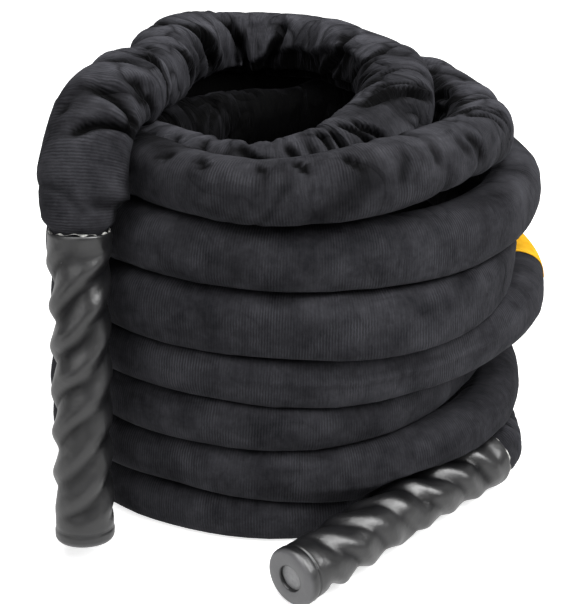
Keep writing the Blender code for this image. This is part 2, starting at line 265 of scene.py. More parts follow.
def fine_route():
    """The sleeve's centreline in steps of about a millimetre, with the knot number at each point."""
    lead = [Vector((x * turn_radius, y * turn_radius, floor_height + z * turn_step)) + shift
            for x, y, z in lead_shares]
    coil = coil_points(np.arange(COIL_END + 1.0))
    straight = hang_mouth - hang_direction * straight_length
    lead = smooth_curve([straight] + lead + [coil[0], coil[COIL_KNOT]], SPANS)[:(LEAD_END + 1) * SPANS]
    leave = floor_mouth - floor_direction * straight_length
    swing = (coil[-1] + leave) / 2 + Vector((0.30, -0.02, 0.0)) * sleeve_flats * 0.42
    tail = smooth_curve([coil[-1 - COIL_KNOT], coil[-1], swing, leave, floor_mouth], SPANS)
    tail = tail[SPANS + 1:4 * SPANS]
    points = [hang_mouth + hang_direction * tuck_length, hang_mouth] + lead + coil + tail
    points += [floor_mouth, floor_mouth + floor_direction * tuck_length]
    knots = [-2.0, -1.5] + [i / SPANS - 1 for i in range(len(lead))]
    knots += [LEAD_END + w / COIL_KNOT for w in range(len(coil))]
    knots += [knots[-1] + (i + 1) / SPANS for i in range(len(tail))] + [ROUTE_END - 0.5, ROUTE_END]
    points = np.array([tuple(p) for p in points])
    along = distances(points)
    even = np.linspace(0.0, along[-1], int(along[-1] / ROUTE_STEP) + 1)
    line = at_places(even, along, points)
    reach = 3 * KINK_WIDTH
    kernel = np.exp(-0.5 * (np.arange(-reach, reach + 1) / KINK_WIDTH) ** 2)
    kernel /= kernel.sum()
    padded = np.concatenate([2 * line[:1] - line[reach:0:-1], line, 2 * line[-1:] - line[-2:-reach - 2:-1]])
    line = np.stack([np.convolve(padded[:, i], kernel, "valid") for i in range(3)], axis=1)
    knots = np.interp(even, along, knots)
    sag = 0.001 * table(knots, SAG)[:, None]
    inward = np.array([-0.10, 0.12]) * turn_radius + np.array(shift.xy) - line[:, :2]
    inward /= np.linalg.norm(inward, axis=1, keepdims=True)
    line += np.concatenate([0.5 * sag * inward, -sag], axis=1)
    _, out, _ = ring_frames(line)
    for knot, half, outward, up in SETTLED:
        line += 0.001 * hump(knots, knot, half)[:, None] * (outward * out + up * UPWARD)
    line[knots > LEAD_END, 2] = np.maximum(line[knots > LEAD_END, 2], floor_height)
    return even, line, knots


# Millimetres between the sleeve's rings: close where the fabric is gathered, wider apart on the plain turns
RING_SPACING = ((-2, 1.7), (-1, 1.6), (2, 1.5), (17.5, 1.5), (19, 4), (27, 4.4), (28.5, 1.9), (32.5, 1.9),
                (34, 3.4), (38, 5), (41, 14), (ROUTE_END - 6, 14), (ROUTE_END - 4, 3.6), (ROUTE_END, 3.6))


def ring_stations(knots, along):
    """Where the sleeve's rings stand."""
    count = np.concatenate([[0.0], np.cumsum(np.diff(along) / (0.001 * table(knots, RING_SPACING))[1:])])
    return np.interp(np.arange(int(count[-1]) + 1) * count[-1] / int(count[-1]), count, along)


def ring_frames(line):
    """Tangent, outward and upward directions at each ring; on the hanging stretch up is the camera side."""
    tangent = np.gradient(line, axis=0)
    tangent /= np.linalg.norm(tangent, axis=1, keepdims=True)
    up = UPWARD - tangent[:, 2:] * tangent
    up /= np.linalg.norm(up, axis=1, keepdims=True)
    return tangent, np.cross(up, tangent), up


# The fabric sleeve

SIDES = 64                               # points round the sleeve
GIRTH = 0.150
TUCKED_RADIUS = 0.0190                   # inside the grips' mouths
ROPE_ROOM = 0.0193                       # the cloth's least radius over the rope
FULLEST_RADIUS = 0.0355
FREE_ROOM = 0.06                         # where nothing is near
TURN_GAP = 0.0002
TURN_REACH = 0.066                       # between the centrelines of turns that may touch
OWN_STRETCH = 0.115                      # along the sleeve, within which a turn doesn't meet itself
GRIP_ROOM = 0.0228                       # from a grip's axis to the cloth beside it
GRIP_REACH = 0.070                       # from a grip's axis, past which the cloth is clear of it
GRIP_SLEEVED = 0.025                     # from a grip's axis, within which the cloth enters the grip
FLOOR_GAP = 0.0003
LONGEST_SLIDE = 0.0045                   # by which a fold may lean over along the sleeve
SOFT_CONTACT = 0.0006                    # over which the cloth gives way before it touches
FOLD_REACH = 0.030                       # how far a placed fold is felt along the sleeve
PATCH_LIFT = 0.0009
PATCH_THICKNESS = 0.0006
PATCH_WEAVE = 0.0008
WAVE_BANDS = 3.1831                      # bands of a wave pattern in one unit, at scale 1

# Creases and raised folds of the gathered cloth: depth and half width in millimetres (a raised fold has a
# negative depth), then places along the sleeve as knot and turn round it
FOLDS = (
    # hanging stretch and left side of the top loop
    (6.0, 2.8, (0.45, .245), (0.52, .278), (0.61, .311), (0.71, .359), (0.75, .398), (0.80, .437),
     (0.78, .490)),
    (5.5, 3.4, (1.33, .290), (1.29, .373), (1.23, .413), (1.18, .451), (1.00, .480)),
    (-3.5, 2.2, (1.50, .400), (1.45, .449), (1.30, .480), (1.00, .520)),
    (-3.0, 2.8, (1.84, .297), (1.58, .348), (1.62, .374), (1.80, .413), (2.13, .453), (2.12, .500),
     (2.9, .545)),
    (6.0, 4.4, (1.75, .400), (2.05, .450), (2.10, .490), (2.4, .545)),
    (8.0, 5.0, (3.35, .300), (3.34, .367), (3.36, .407), (3.70, .453), (3.60, .490), (3.40, .540)),
    (3.0, 3.4, (2.30, .225), (2.55, .275), (2.69, .327), (3.10, .333)),
    (2.2, 2.8, (0.84, .165), (0.92, .189), (1.04, .220)),
    (3.0, 4.0, (5.00, .201), (4.65, .270), (4.33, .346)),
    (8.0, 5.0, (5.38, .335), (5.30, .392), (5.32, .442), (5.50, .509), (6.0, .590)),
    (-3.0, 3.0, (6.40, .260), (6.30, .372), (6.40, .425), (6.65, .484), (7.00, .563)),
    (9.0, 6.0, (7.10, .270), (7.05, .350), (7.16, .435), (7.36, .488), (7.80, .566), (7.95, .63)),
    # back of the top loop
    (-2.5, 2.6, (8.31, .343), (8.18, .399), (8.15, .447), (8.17, .497), (8.60, .590)),
    (8.0, 4.6, (8.60, .330), (8.80, .405), (9.05, .458), (9.38, .509), (9.50, .570), (9.4, .64)),
    (6.5, 4.4, (10.34, .335), (10.56, .400), (10.50, .452), (10.30, .510), (10.05, .600)),
    (1.5, 2.4, (11.24, .320), (11.48, .401), (11.57, .449)),
    (6.5, 3.8, (11.85, .270), (12.17, .350), (12.25, .421), (12.15, .474), (11.85, .550), (11.7, .61)),
    (5.0, 4.5, (9.5, .670), (10.4, .655), (11.2, .640), (12.1, .620), (12.7, .610)),
    # right bend with its fan of creases
    (6.0, 2.8, (13.25, .255), (13.50, .319), (13.72, .361), (13.65, .410), (13.2, .480), (12.7, .56)),
    (3.5, 2.4, (13.05, .390), (13.10, .448), (12.75, .520)),
    (4.0, 2.4, (13.90, .385), (14.05, .440), (14.05, .500), (13.9, .57)),
    (4.0, 2.4, (14.35, .345), (14.60, .400), (14.70, .460), (14.6, .52)),
    (4.0, 2.4, (14.80, .320), (15.10, .355), (15.30, .400), (15.3, .46)),
    (4.0, 1.5, (14.21, .124), (14.40, .205), (14.45, .270), (14.63, .308), (14.81, .336)),
    (4.5, 1.5, (14.60, .090), (14.90, .165), (15.04, .211), (15.16, .255), (15.40, .283), (15.58, .300)),
    (-2.5, 1.6, (14.45, .040), (14.82, .104), (15.05, .150), (15.18, .190), (15.30, .225), (15.45, .262)),
    (6.0, 2.3, (14.62, .046), (14.97, .106), (15.17, .151), (15.32, .188), (15.50, .214), (15.70, .232),
     (15.86, .260)),
    # front of the inner turn
    (5.5, 1.6, (16.24, .205), (16.21, .150), (16.14, .122), (16.06, .087), (16.00, .030)),
    (5.5, 1.6, (16.44, .230), (16.39, .170), (16.32, .141), (16.27, .093), (16.22, .030)),
    (5.0, 1.6, (16.62, .210), (16.62, .150), (16.61, .099), (16.58, .040)),
    (4.5, 1.6, (16.82, .240), (16.80, .181), (16.78, .149), (16.76, .080)),
    (2.5, 2.2, (17.05, .180), (17.02, .120), (17.00, .050)),
    (3.5, 2.4, (17.36, .185), (17.26, .120), (17.20, .050)),
    (2.5, 2.6, (17.66, .130), (17.60, .070)),
    (4.0, 2.6, (18.02, .210), (17.88, .155), (17.76, .110), (17.6, .05)),
    (4.0, 3.0, (18.80, .269), (18.63, .180), (18.50, .120)),
    (3.0, 2.6, (19.40, .260), (19.20, .180), (19.10, .100)),
    # right rear of the first turn of the coil
    (5.0, 2.6, (28.29, .500), (29.20, .440), (29.49, .403), (29.67, .346), (29.68, .289), (29.6, .230)),
    (4.5, 2.6, (28.25, .455), (28.35, .415), (28.80, .382)),
    (5.0, 2.0, (31.75, .330), (31.40, .316), (31.05, .295), (30.75, .243), (30.72, .189), (30.6, .110)),
    (4.5, 1.8, (31.60, .300), (31.19, .286), (31.10, .219), (30.92, .156), (30.67, .084), (30.6, .02)),
    (4.0, 1.8, (31.70, .262), (31.55, .236), (31.33, .193), (31.22, .133), (31.07, .080)),
    (3.5, 2.0, (32.13, .310), (32.09, .250)),
    # top edge of the first turn, where it meets the inner one
    (4.5, 2.0, (34.92, .205), (34.82, .161), (34.76, .130)),
    (4.0, 2.0, (36.79, .110), (36.77, .152), (36.75, .200)),
    (2.5, 1.6, (36.95, .130), (36.87, .160), (36.80, .190)),
    (4.0, 2.2, (36.28, .210), (36.15, .166), (36.08, .140)),
    (1.6, 2.6, (33.45, .180), (33.47, .115), (33.59, .054), (33.60, -.02)),
    (2.0, 2.8, (33.02, .160), (32.99, .089), (33.01, .027)),
    (2.5, 3.6, (32.30, .160), (32.14, .062), (32.01, -.03)),
    (2.0, 2.6, (32.53, .160), (32.48, .085), (32.29, .027)),
    (3.0, 2.2, (34.27, .205), (34.21, .155), (34.09, .110)),
    (2.2, 2.4, (35.45, .200), (35.30, .140)),
    # flattened edges of the slack cloth on the fourth and sixth turns
    (-2.4, 1.8, (108.0, .020), (106.2, .000), (104.9, .000), (103.9, .015), (103.0, .050)),
    (-2.4, 1.8, (155.0, -.060), (153.5, -.040), (152.9, .000), (152.3, .060), (151.5, .150)),
    # under the bulge of the hanging cloth
    (1.6, 2.8, (-0.99, .330), (-1.03, .373), (-1.04, .415), (-1.04, .47)),
)


# Where the cloth at the back of the loop is turned under: knot and turn
EDGE = ((8.4, .62), (9.52, .558), (10.09, .520), (10.78, .493), (11.16, .478), (11.55, .477), (11.75, .454),
        (12.14, .430), (12.52, .401), (12.93, .392))
# How much paler (positive) or darker (negative) the cloth is made along the route, by knot
TONE_ALONG = ((-1.5, -0.12), (0.8, -0.12), (1.6, 0), (2.4, 0.35), (5.5, 0.35), (6.5, 0), (32.5, 0),
        (33.6, -0.30), (35.4, -0.30), (36.4, 0), (120, 0), (126, -0.10))


def cloth_noise(rng, total, length_along, length_around):
    """Smooth random field over the unrolled sleeve, seamless around it, as a function of place."""
    step, margin = 0.0025, 40
    rows, cols = int(total / step) + 2 * margin, SIDES
    white = rng.standard_normal((rows, cols))
    k_along = np.fft.fftfreq(rows, step)[:, None]
    k_around = np.fft.rfftfreq(cols, GIRTH / cols)[None, :]
    shape = np.exp(-2 * math.pi ** 2 * ((k_along * length_along) ** 2 + (k_around * length_around) ** 2))
    field = np.fft.irfft2(np.fft.rfft2(white) * shape, (rows, cols))
    field /= field.std()

    def at(along, turn):
        """along in metres and turn in full turns round the sleeve, as arrays."""
        i = np.clip(along / step + margin, 0, rows - 1.001)
        j = np.mod(turn, 1.0) * cols
        i0, j0 = i.astype(int), j.astype(int) % cols
        fi, fj = i - i0, j - np.floor(j)
        j1 = (j0 + 1) % cols
        low = field[i0, j0] * (1 - fj) + field[i0, j1] * fj
        high = field[i0 + 1, j0] * (1 - fj) + field[i0 + 1, j1] * fj
        return low * (1 - fi) + high * fi
    return at


# Millimetres from the sleeve's centreline to its four sides, by knot: outer, inner, top and under
OUTER = ((-2, 19.5), (-1.5, 20.3), (-1.42, 22.5), (-1.25, 24.8), (-1, 26.2), (0, 28.5), (1, 25), (2.5, 23.8),
         (5, 24.6), (12, 25.2), (15, 25.8), (20, 24), (LEAD_END, 23), (LEAD_END + 5, 22.2),
         (LEAD_END + 8, 21.8), (LEAD_END + 22, 20.5), (LEAD_END + 27, 20.5), (LEAD_END + 32, 21.6),
         (ROUTE_END - 3, 21.2), (ROUTE_END, 21))
INNER = ((-2, 19.5), (-1.5, 20.5), (-1.4, 23.5), (-1.15, 25), (-1, 29), (-0.85, 35), (0, 35), (1, 33.5),
         (2.5, 32), (5, 31.5), (14, 30), (16, 26.5), (20, 25), (ROUTE_END, 22.6))
TOP = ((-2, 19.5), (-1.5, 20), (-1.3, 23), (1, 25.5), (3, 26.2), (14, 26.5), (17, 25.5), (20, 24),
       (LEAD_END, 24), (LEAD_END + 4, 22.5), (LEAD_END + 8, 21.2), (LEAD_END + 24, 21.8), (ROUTE_END, 22))
UNDER = ((-2, 19.5), (-1.4, 20), (-1.1, 20.5), (2, 25), (6, 28.5), (12, 28.5), (15, 26), (20, 23.5),
         (LEAD_END, 22.5), (LEAD_END + 2, 20.5), (LEAD_END + 8, 20.8), (LEAD_END + 24, 22.5),
         (ROUTE_END, 22.5))
SQUARENESS = 2.25        # 2 would make the section an ellipse
SQUEEZED_RADIUS = 0.0197
# Where a turn's slack cloth droops over the turn below: knot, half width in knots, millimetres
DROOPS = ((56.8, 4, 4), (82.2, 6.5, 8.5), (106, 3.5, 3), (154, 4, 2))


def section_radius(knots, turn, neck):
    """The slack sleeve's outline round its centreline before folds and contact, ring by ring."""
    c, s = np.cos(2 * math.pi * turn), np.sin(2 * math.pi * turn)
    side, inner, top, under = (0.001 * table(knots, rows) for rows in (OUTER, INNER, TOP, UNDER))
    a, b = np.where(c >= 0, side, inner), np.where(s >= 0, top, under)
    slack = (np.abs(c / a) ** SQUARENESS + np.abs(s / b) ** SQUARENESS) ** (-1 / SQUARENESS)
    # Slack cloth hangs a little at the lower outer side of each turn
    slack = slack + 0.0010 * np.exp(-((360 * turn - 318) / 34) ** 2) * smooth(0, 3, knots)
    for knot, half, droop in DROOPS:
        slack += 0.001 * droop * hump(knots, knot, half) * np.exp(-((360 * turn - 308) / 19) ** 2)
    return SQUEEZED_RADIUS + (slack - SQUEEZED_RADIUS) * neck


# How strongly the cloth is gathered into folds, how high its soft dents are, both in millimetres, and how
# much it is crumpled (0 to 1), by knot
GATHER = ((-2, 0), (-1.2, 0.4), (0, 0.6), (1.2, 1), (2.4, 1.5), (4, 1.7), (13, 1.7), (15, 1.6), (17, 1.7),
          (20, 2.6), (27, 3), (LEAD_END, 2.8), (LEAD_END + 1.6, 2.2), (LEAD_END + 3.4, 1.2),
          (LEAD_END + 8, 0.9), (LEAD_END + 14, 0.8), (LEAD_END + 24, 0.6), (ROUTE_END - 9, 0.6),
          (ROUTE_END - 5, 2.2), (ROUTE_END - 1, 1.8), (ROUTE_END - 0.7, 0.4), (ROUTE_END, 0))
DENTS = ((-2, 0), (-1, 0.6), (2, 1.2), (16, 1.2), (LEAD_END, 1), (LEAD_END + 8, 1), (ROUTE_END - 2, 1),
         (ROUTE_END - 0.7, 0.2), (ROUTE_END, 0))
CRUMPLED = ((-2, 0), (-1, 0.2), (0, 0.3), (1.2, 0.7), (2.4, 1), (17, 1), (LEAD_END + 1, 0.9),
            (LEAD_END + 4, 0.4), (LEAD_END + 9, 0.25), (ROUTE_END - 6, 0.2), (ROUTE_END - 4, 0.6),
            (ROUTE_END, 0))


def fold_height(rng, along, knots, turn, total, depth, close):
    """Gathered folds and soft dents over the rings: height and lean along the sleeve in metres, how gathered
    the cloth is, and the folds' rise, -1 in a crease and 1 on a back, which also sets the painted shade of
    the creases and the painted highlight on the backs."""
    warp = cloth_noise(rng, total, 0.028, 0.026)
    folds = cloth_noise(rng, total, 0.0095, 0.0300)
    small = cloth_noise(rng, total, 0.0034, 0.0120)
    soft = cloth_noise(rng, total, 0.024, 0.016)
    choose = cloth_noise(rng, total, 0.030, 0.030)
    # The inside of each bend is gathered more than its outside, and a placed fold takes up the slack near it
    gather = table(knots, GATHER) * (1.0 + 0.22 * np.cos(2 * math.pi * (turn - 0.40))) * (1.0 - 0.75 * close)
    bent = along + 0.024 * warp(along, turn)
    crease = 2.0 * np.minimum(1.0, np.abs(folds(bent, turn)) / 0.95) ** 0.70 - 1.0
    fine = np.minimum(1.0, np.abs(small(bent, turn)) / 0.9) ** 0.6 - 0.6
    rise_and_shading = crease * (0.90 + 0.30 * np.clip(choose(along, turn), -1.6, 1.6)) + 0.36 * fine
    height = 0.001 * depth * (gather * rise_and_shading + table(knots, DENTS) * soft(along, turn))
    # Folds lean over one way or the other, so that they overhang the creases
    lean = 0.45 * np.tanh(2 * warp(along + 0.4, turn)) * np.clip(gather / 3, 0, 1) * height
    return height, lean, gather / 4.0, rise_and_shading


def nearest_on_fold(a, t, s, u):
    """From places on the unrolled cloth to the nearest point of a fold's line: the distance, how far along
    the line the point lies (0 to 1), and how much of the distance runs along the sleeve (-1 to 1)."""
    best, share, lean = np.full(t.shape, 1.0), np.zeros(t.shape), np.zeros(t.shape)
    for j in range(len(s) - 1):
        ds, du, middle = s[j + 1] - s[j], u[j + 1] - u[j], (u[j] + u[j + 1]) / 2
        over = np.mod(t - middle + GIRTH / 2, GIRTH) - GIRTH / 2 + middle - u[j]
        f = np.clip(((a - s[j]) * ds + over * du) / (ds * ds + du * du), 0.0, 1.0)
        da, dt = a - s[j] - f * ds, over - f * du
        d = np.hypot(da, dt)
        nearer = d < best
        best, lean = np.where(nearer, d, best), np.where(nearer, da / np.maximum(d, 1e-6), lean)
        share = np.where(nearer, (j + f) / (len(s) - 1), share)
    return best, share, lean


def sunk_fold(x, lean, toward):
    """Section of a crease x half widths from its line: height, pull along the sleeve and tone. One side is
    steep, with painted highlight along its rim, and the other falls in gently; the crease's painted shade
    lies toward one side."""
    q = x * lean
    wide, side = (1.25, -1) if toward else (0.95, 1)
    # The tone: painted shade in the crease and a painted highlight along its rim
    mark = -3.4 * np.exp(-(np.abs(q - toward) / wide) ** 4 - (x / 2.4) ** 4)
    mark += 1.3 * np.exp(-((q + 1.35 * side - toward) / 0.4) ** 2)
    x = x * (1.10 - 0.35 * np.tanh(2 * q))
    shape = -1.35 * np.exp(-(x / 1.1) ** 3) + 0.45 * np.exp(-((x - 1.9) / 0.7) ** 2)
    return shape, -0.25 * x * np.exp(-(x / 2.0) ** 2), mark


def raised_fold(x):
    """Section of a raised fold, in the same way: painted highlight on its back and painted shade at its
    two feet.
    """
    back, foot = np.exp(-x ** 1.7), np.exp(-((x - 2.1) / 0.9) ** 2)
    return -back + 0.40 * foot, 0.0 * x, 0.9 * back - 0.8 * foot


def placed_folds(along, turn, fine_knots, even):
    """The placed creases and raised folds over the rings: height and slide along the sleeve in metres, how
    near they are, and their painted shade (negative) or painted highlight (positive)."""
    height, slide, close, tone = (np.zeros(turn.shape) for _ in range(4))
    for depth, width, *places in FOLDS:
        knots, turns = np.array(places).T
        s, u = np.interp(knots, fine_knots, even), turns * GIRTH
        rows = np.flatnonzero((along > s.min() - FOLD_REACH) & (along < s.max() + FOLD_REACH))
        away, share, lean = nearest_on_fold(along[rows][:, None], turn[rows] * GIRTH, s, u)
        taper = np.minimum(1.0, 0.2 + 4.5 * share * (1 - share))
        x = away / (0.00115 * width)
        if depth > 0:
            # On the loop's left the painted shade lies on the side that the bend turns toward the mouth
            shape, pull, mark = sunk_fold(x, lean, 0.9 if 2.5 < knots.mean() < 9.0 else 0.0)
        else:
            shape, pull, mark = raised_fold(x)
        tone[rows] += taper * min(1.0, (abs(depth) / 5.0) ** 1.6) * mark
        height[rows] += 0.001 * depth * taper * shape
        slide[rows] += 0.001 * depth * taper * pull * lean
        close[rows] = np.maximum(close[rows], taper * np.exp(-(away / 0.015) ** 2))
    return height, slide, close, tone


def eased(field, along):
    """A field over the rings, smoothed along and around the sleeve over about a millimetre."""
    near = np.exp(-(np.diff(along) / 0.0012) ** 2 / 2)[:, None]
    total, weight = field.copy(), np.ones((len(along), 1))
    total[1:] += near * field[:-1]
    total[:-1] += near * field[1:]
    weight[1:] += near
    weight[:-1] += near
    total /= weight
    return (np.roll(total, 1, axis=1) + 2 * total + np.roll(total, -1, axis=1)) / 4


def turned_under(rng, along, knots, turn, total):
    """At the back of the loop the cloth is turned under along an edge: how far it is turned, 0 to 1, and the
    height of the rim above it in metres."""
    there = table(knots, ((8.2, 0), (9.2, 1), (12.9, 1), (13.5, 0)))
    edge = np.interp(knots, *np.array(EDGE).T)
    edge = edge + 0.010 * cloth_noise(rng, total, 0.012, 0.030)(along, 0 * along)
    under = there * smooth(edge - 0.008, edge + 0.014, turn) * smooth(0.85, 0.78, turn)
    return under, 0.0012 * there * np.exp(-((turn - edge + 0.016) / 0.014) ** 2)


def free_room(outward, away, far, reach):
    """How far each direction out of a ring is free, with neighbours at those offsets and distances of which
    the ring may take up the reach."""
    toward = outward @ (away / far[:, None]).T
    return np.where(toward > 0.05, reach / np.maximum(toward, 0.05), 1.0).min(axis=1)


def contact_limit(line, along, knots, outward, fine, even):
    """How far each point of a ring may stand off before it meets its neighbours, the grips or the floor.
    Two turns share the room between them halfway, but a drooping turn takes a little of the room of the turn
    below it, on the outside."""
    limit = np.full(outward.shape[:2], FREE_ROOM)
    cloth, cloth_along = fine[::5], even[::5]
    droop, droop_below = (0.0006 * sum(drop * hump(knots, knot + step, half) for knot, half, drop in DROOPS)
                          for step in (0, 360 / COIL_KNOT))
    outside = smooth(0.05, 0.40, np.cos(np.linspace(0, 2 * math.pi, SIDES, endpoint=False)))
    steps = np.arange(0.0, grip_length, 0.006)[:, None]
    grips = [np.array(mouth) + np.array(direction) * steps for _, mouth, direction in ENDS]
    for i, (centre, s) in enumerate(zip(line, along)):
        away = cloth - centre
        far = np.linalg.norm(away, axis=1)
        near = (far < TURN_REACH) & (np.abs(cloth_along - s) > OWN_STRETCH)
        if near.any():
            away, far = away[near], far[near]
            over = np.where(away[:, 2] < 0, droop[i], -droop_below[i]) * outside[:, None]
            limit[i] = np.minimum(limit[i], free_room(outward[i], away, far, far / 2 - TURN_GAP + over))
        for grip in grips:
            away = grip - centre
            far = np.linalg.norm(away, axis=1)
            near = (far < GRIP_REACH) & (far > GRIP_SLEEVED)
            if near.any():
                away, far = away[near], far[near]
                limit[i] = np.minimum(limit[i], free_room(outward[i], away, far, far - GRIP_ROOM))
    down = -outward[..., 2]
    floor_room = np.where(down > 0.05, (line[:, None, 2] - 2 * FLOOR_GAP) / np.maximum(down, 0.05), 1.0)
    return np.minimum(limit, floor_room)


def deep_shade(points, outward, line, knots):
    """How little light reaches the cloth inside the coil, 0 to 1."""
    from_axis = points - (UPWARD * line[:, None, 2:] + np.append(np.array(shift.xy), 0.0))
    inward = -np.einsum("ijk,ijk->ij", outward, from_axis) / np.linalg.norm(from_axis, axis=2)
    height = line[:, 2:]
    deep = smooth(0.1, 0.7, inward) * np.where(knots > LEAD_END + 4, smooth(0.345, 0.322, height),
                                               smooth(0.312, 0.272, height))
    below_loop = table(knots, ((21, 0), (22.3, 1), (25.8, 1), (26.8, 0), (36, 0), (38.5, 1), (47, 1),
                               (49, 0)))
    return np.maximum(deep, below_loop * smooth(-0.9, -0.3, inward))


def ring_directions(turn, out, up):
    """Directions from a line to the points of its rings."""
    phi = 2 * math.pi * turn[..., None]
    return np.cos(phi) * out[:, None] + np.sin(phi) * up[:, None]


def tube_mesh(name, line, radius, sides):
    """A round open tube along the line, as a mesh: ring by ring, sides points each."""
    curve = bpy.data.curves.new(name, "CURVE")
    curve.dimensions = "3D"
    curve.twist_mode = "Z_UP"
    curve.bevel_depth = radius
    curve.bevel_resolution = (sides - 4) // 2
    spline = curve.splines.new("POLY")
    spline.points.add(len(line) - 1)
    spline.points.foreach_set("co", np.concatenate([line, np.ones((len(line), 1))], axis=1).ravel())
    holder = bpy.data.objects.new(name, curve)
    mesh = bpy.data.meshes.new_from_object(holder)
    bpy.data.objects.remove(holder)
    mesh.name = name
    return mesh


def unroll(mesh, sides, girth, along):
    """A UV map in metres: across is round the tube, up is along it."""
    for old in list(mesh.uv_layers):
        mesh.uv_layers.remove(old)
    uv = mesh.uv_layers.new(name="unrolled")
    index = np.empty(len(mesh.loops), np.int32)
    mesh.loops.foreach_get("vertex_index", index)
    start = np.empty(len(mesh.polygons), np.int32)
    size = np.empty(len(mesh.polygons), np.int32)
    mesh.polygons.foreach_get("loop_start", start)
    mesh.polygons.foreach_get("loop_total", size)
    across = (index % sides).astype(float)
    face = np.repeat(np.arange(len(start)), size)
    high = np.maximum.reduceat(across, start)
    # The last face of a ring runs on past the first point, to a full turn
    across[(across == 0) & (high[face] == sides - 1) & (size[face] == 4)] = sides
    uv.uv.foreach_set("vector", np.stack([across / sides * girth, along[index // sides]], axis=1).ravel())


def shape_tube(mesh, points, sides, girth, along):
    """Puts a tube's points in place, unrolls its map and closes its ends."""
    if len(mesh.vertices) != len(points):
        raise RuntimeError(f"{mesh.name} has {len(mesh.vertices)} points, not {len(points)}")
    mesh.vertices.foreach_set("co", points.astype(np.float32).ravel())
    unroll(mesh, sides, girth, along)
    bm = bmesh.new()
    bm.from_mesh(mesh)
    bmesh.ops.holes_fill(bm, edges=bm.edges, sides=0)
    bmesh.ops.recalc_face_normals(bm, faces=bm.faces)
    bm.to_mesh(mesh)
    bm.free()


class ROPE_OT_sleeve(bpy.types.Operator):
    bl_idname = "rope.sleeve"
    bl_label = "Fabric sleeve"

    def execute(self, context):
        own = settings().sleeve
        even, fine, fine_knots = fine_route()
        total = even[-1]
        along = ring_stations(fine_knots, even)
        line, knots = at_places(along, even, fine), np.interp(along, even, fine_knots)
        tangent, out, up = ring_frames(line)
        turn = np.broadcast_to(np.arange(SIDES) / SIDES, (len(line), SIDES))
        outward = ring_directions(turn, out, up)
        # The sleeve is squeezed to the rope at both grips' mouths
        neck = smooth(tuck_length + 0.0005, tuck_length + 0.007, along)
        neck *= smooth(tuck_length + 0.002, tuck_length + 0.020, total - along)
        to_end = np.minimum(along, total - along)[:, None]
        place, wide, neck = along[:, None], knots[:, None], neck[:, None]

        rng = np.random.default_rng(own.seed)
        placed, pinch, close, tone = placed_folds(along, turn, fine_knots, even)
        placed, pinch, tone = (eased(field, along) for field in (placed, pinch, tone))
        under, rim = turned_under(rng, place, wide, turn, total)
        placed = placed - 0.0045 * under + rim
        folds, lean, gathered, rise_and_shading = fold_height(rng, place, wide, turn, total, own.fold_depth, close)
        radius = section_radius(wide, turn, neck)
        radius = radius + (folds + own.fold_depth * placed) * (0.15 + 0.85 * neck)
        limit = contact_limit(line, along, knots, outward, fine, even)
        squeezed = smooth(0.0, 0.0035, radius - limit)
        radius = np.clip(radius, ROPE_ROOM + 0.0004 * smooth(0.0, 0.010, to_end), FULLEST_RADIUS)
        radius = -SOFT_CONTACT * np.logaddexp(-radius / SOFT_CONTACT, -limit / SOFT_CONTACT)
        slide = np.clip(lean + own.fold_depth * pinch, -LONGEST_SLIDE, LONGEST_SLIDE) * neck
        points = line[:, None] + outward * radius[..., None] + tangent[:, None] * slide[..., None]
        inside = (along < tuck_length) | (along > total - tuck_length)
        points[inside] = (line[:, None] + outward * TUCKED_RADIUS)[inside]
        points[..., 2] = np.maximum(points[..., 2], FLOOR_GAP)

        # Light hardly reaches the creases, the seams between the turns, the cloth turned under and the cloth
        # inside the coil: painted shade darkens them. The back of the loop, which the lights hardly reach,
        # is painted paler, and painted highlight lightens the rims and backs of folds
        back = table(wide, ((5.5, 0), (8, 1), (12.5, 1), (14, 0)))
        tone = tone + 0.85 * back * smooth(0.20, 0.30, turn) * (turn < 0.8) - 1.3 * under + table(wide, TONE_ALONG)
        rise_and_shading = 1.7 * np.clip(rise_and_shading, -1, 1) * np.clip(gathered * neck, 0, 1) + tone
        rise_and_shading = np.clip(rise_and_shading - 1.1 * squeezed - 2.2 * deep_shade(points, outward, line, wide), -1, 1)
        crumpled = np.broadcast_to(table(wide, CRUMPLED) * neck, turn.shape)
        mesh = tube_mesh("fabric_sleeve_cloth", line, sleeve_flats / 2, SIDES)
        for name, value in (("gathered", crumpled), ("rise_and_shading", rise_and_shading)):
            layer = mesh.attributes.new(name, "FLOAT", "POINT")
            layer.data.foreach_set("value", value.astype(np.float32).ravel())
        shape_tube(mesh, points.reshape(-1, 3), SIDES, GIRTH, along)
        sleeve = link_piece("sleeve_cloth", mesh, sleeve_material(own), "sleeve_fabric", "fabric_sleeve")
        print(f"sleeve {total:.3f} m, {len(line)} rings")
        return {"FINISHED"}


class ROPE_OT_mark(bpy.types.Operator):
    """Sews the plain yellow patch on the side of the fourth turn"""
    bl_idname = "rope.mark"
    bl_label = "Yellow patch"

    def execute(self, context):
        own = settings().mark
        bm = bmesh.new()
        bm.from_mesh(bpy.data.objects["sleeve_cloth"].data)
        even, _, fine_knots = fine_route()
        start = float(np.interp(own.knot, fine_knots, even))
        uv = bm.loops.layers.uv["unrolled"]
        outside = []
        for face in bm.faces:
            middle = sum((loop[uv].uv for loop in face.loops), Vector((0.0, 0.0))) / len(face.loops)
            around = middle.x / GIRTH
            if not (own.turn_from < around < own.turn_to and start < middle.y < start + own.length):
                outside.append(face)
        bmesh.ops.delete(bm, geom=outside, context="FACES")
        bmesh.ops.subdivide_edges(bm, edges=bm.edges, cuts=1, use_grid_fill=True, smooth=0.6)
        bm.normal_update()
        for v in bm.verts:
            v.co += v.normal * PATCH_LIFT
        bmesh.ops.solidify(bm, geom=bm.faces, thickness=PATCH_THICKNESS)
        bmesh.ops.recalc_face_normals(bm, faces=bm.faces)
        link_piece("yellow_patch", mesh_of(bm, "yellow_patch"), mark_material(own), None)
        return {"FINISHED"}


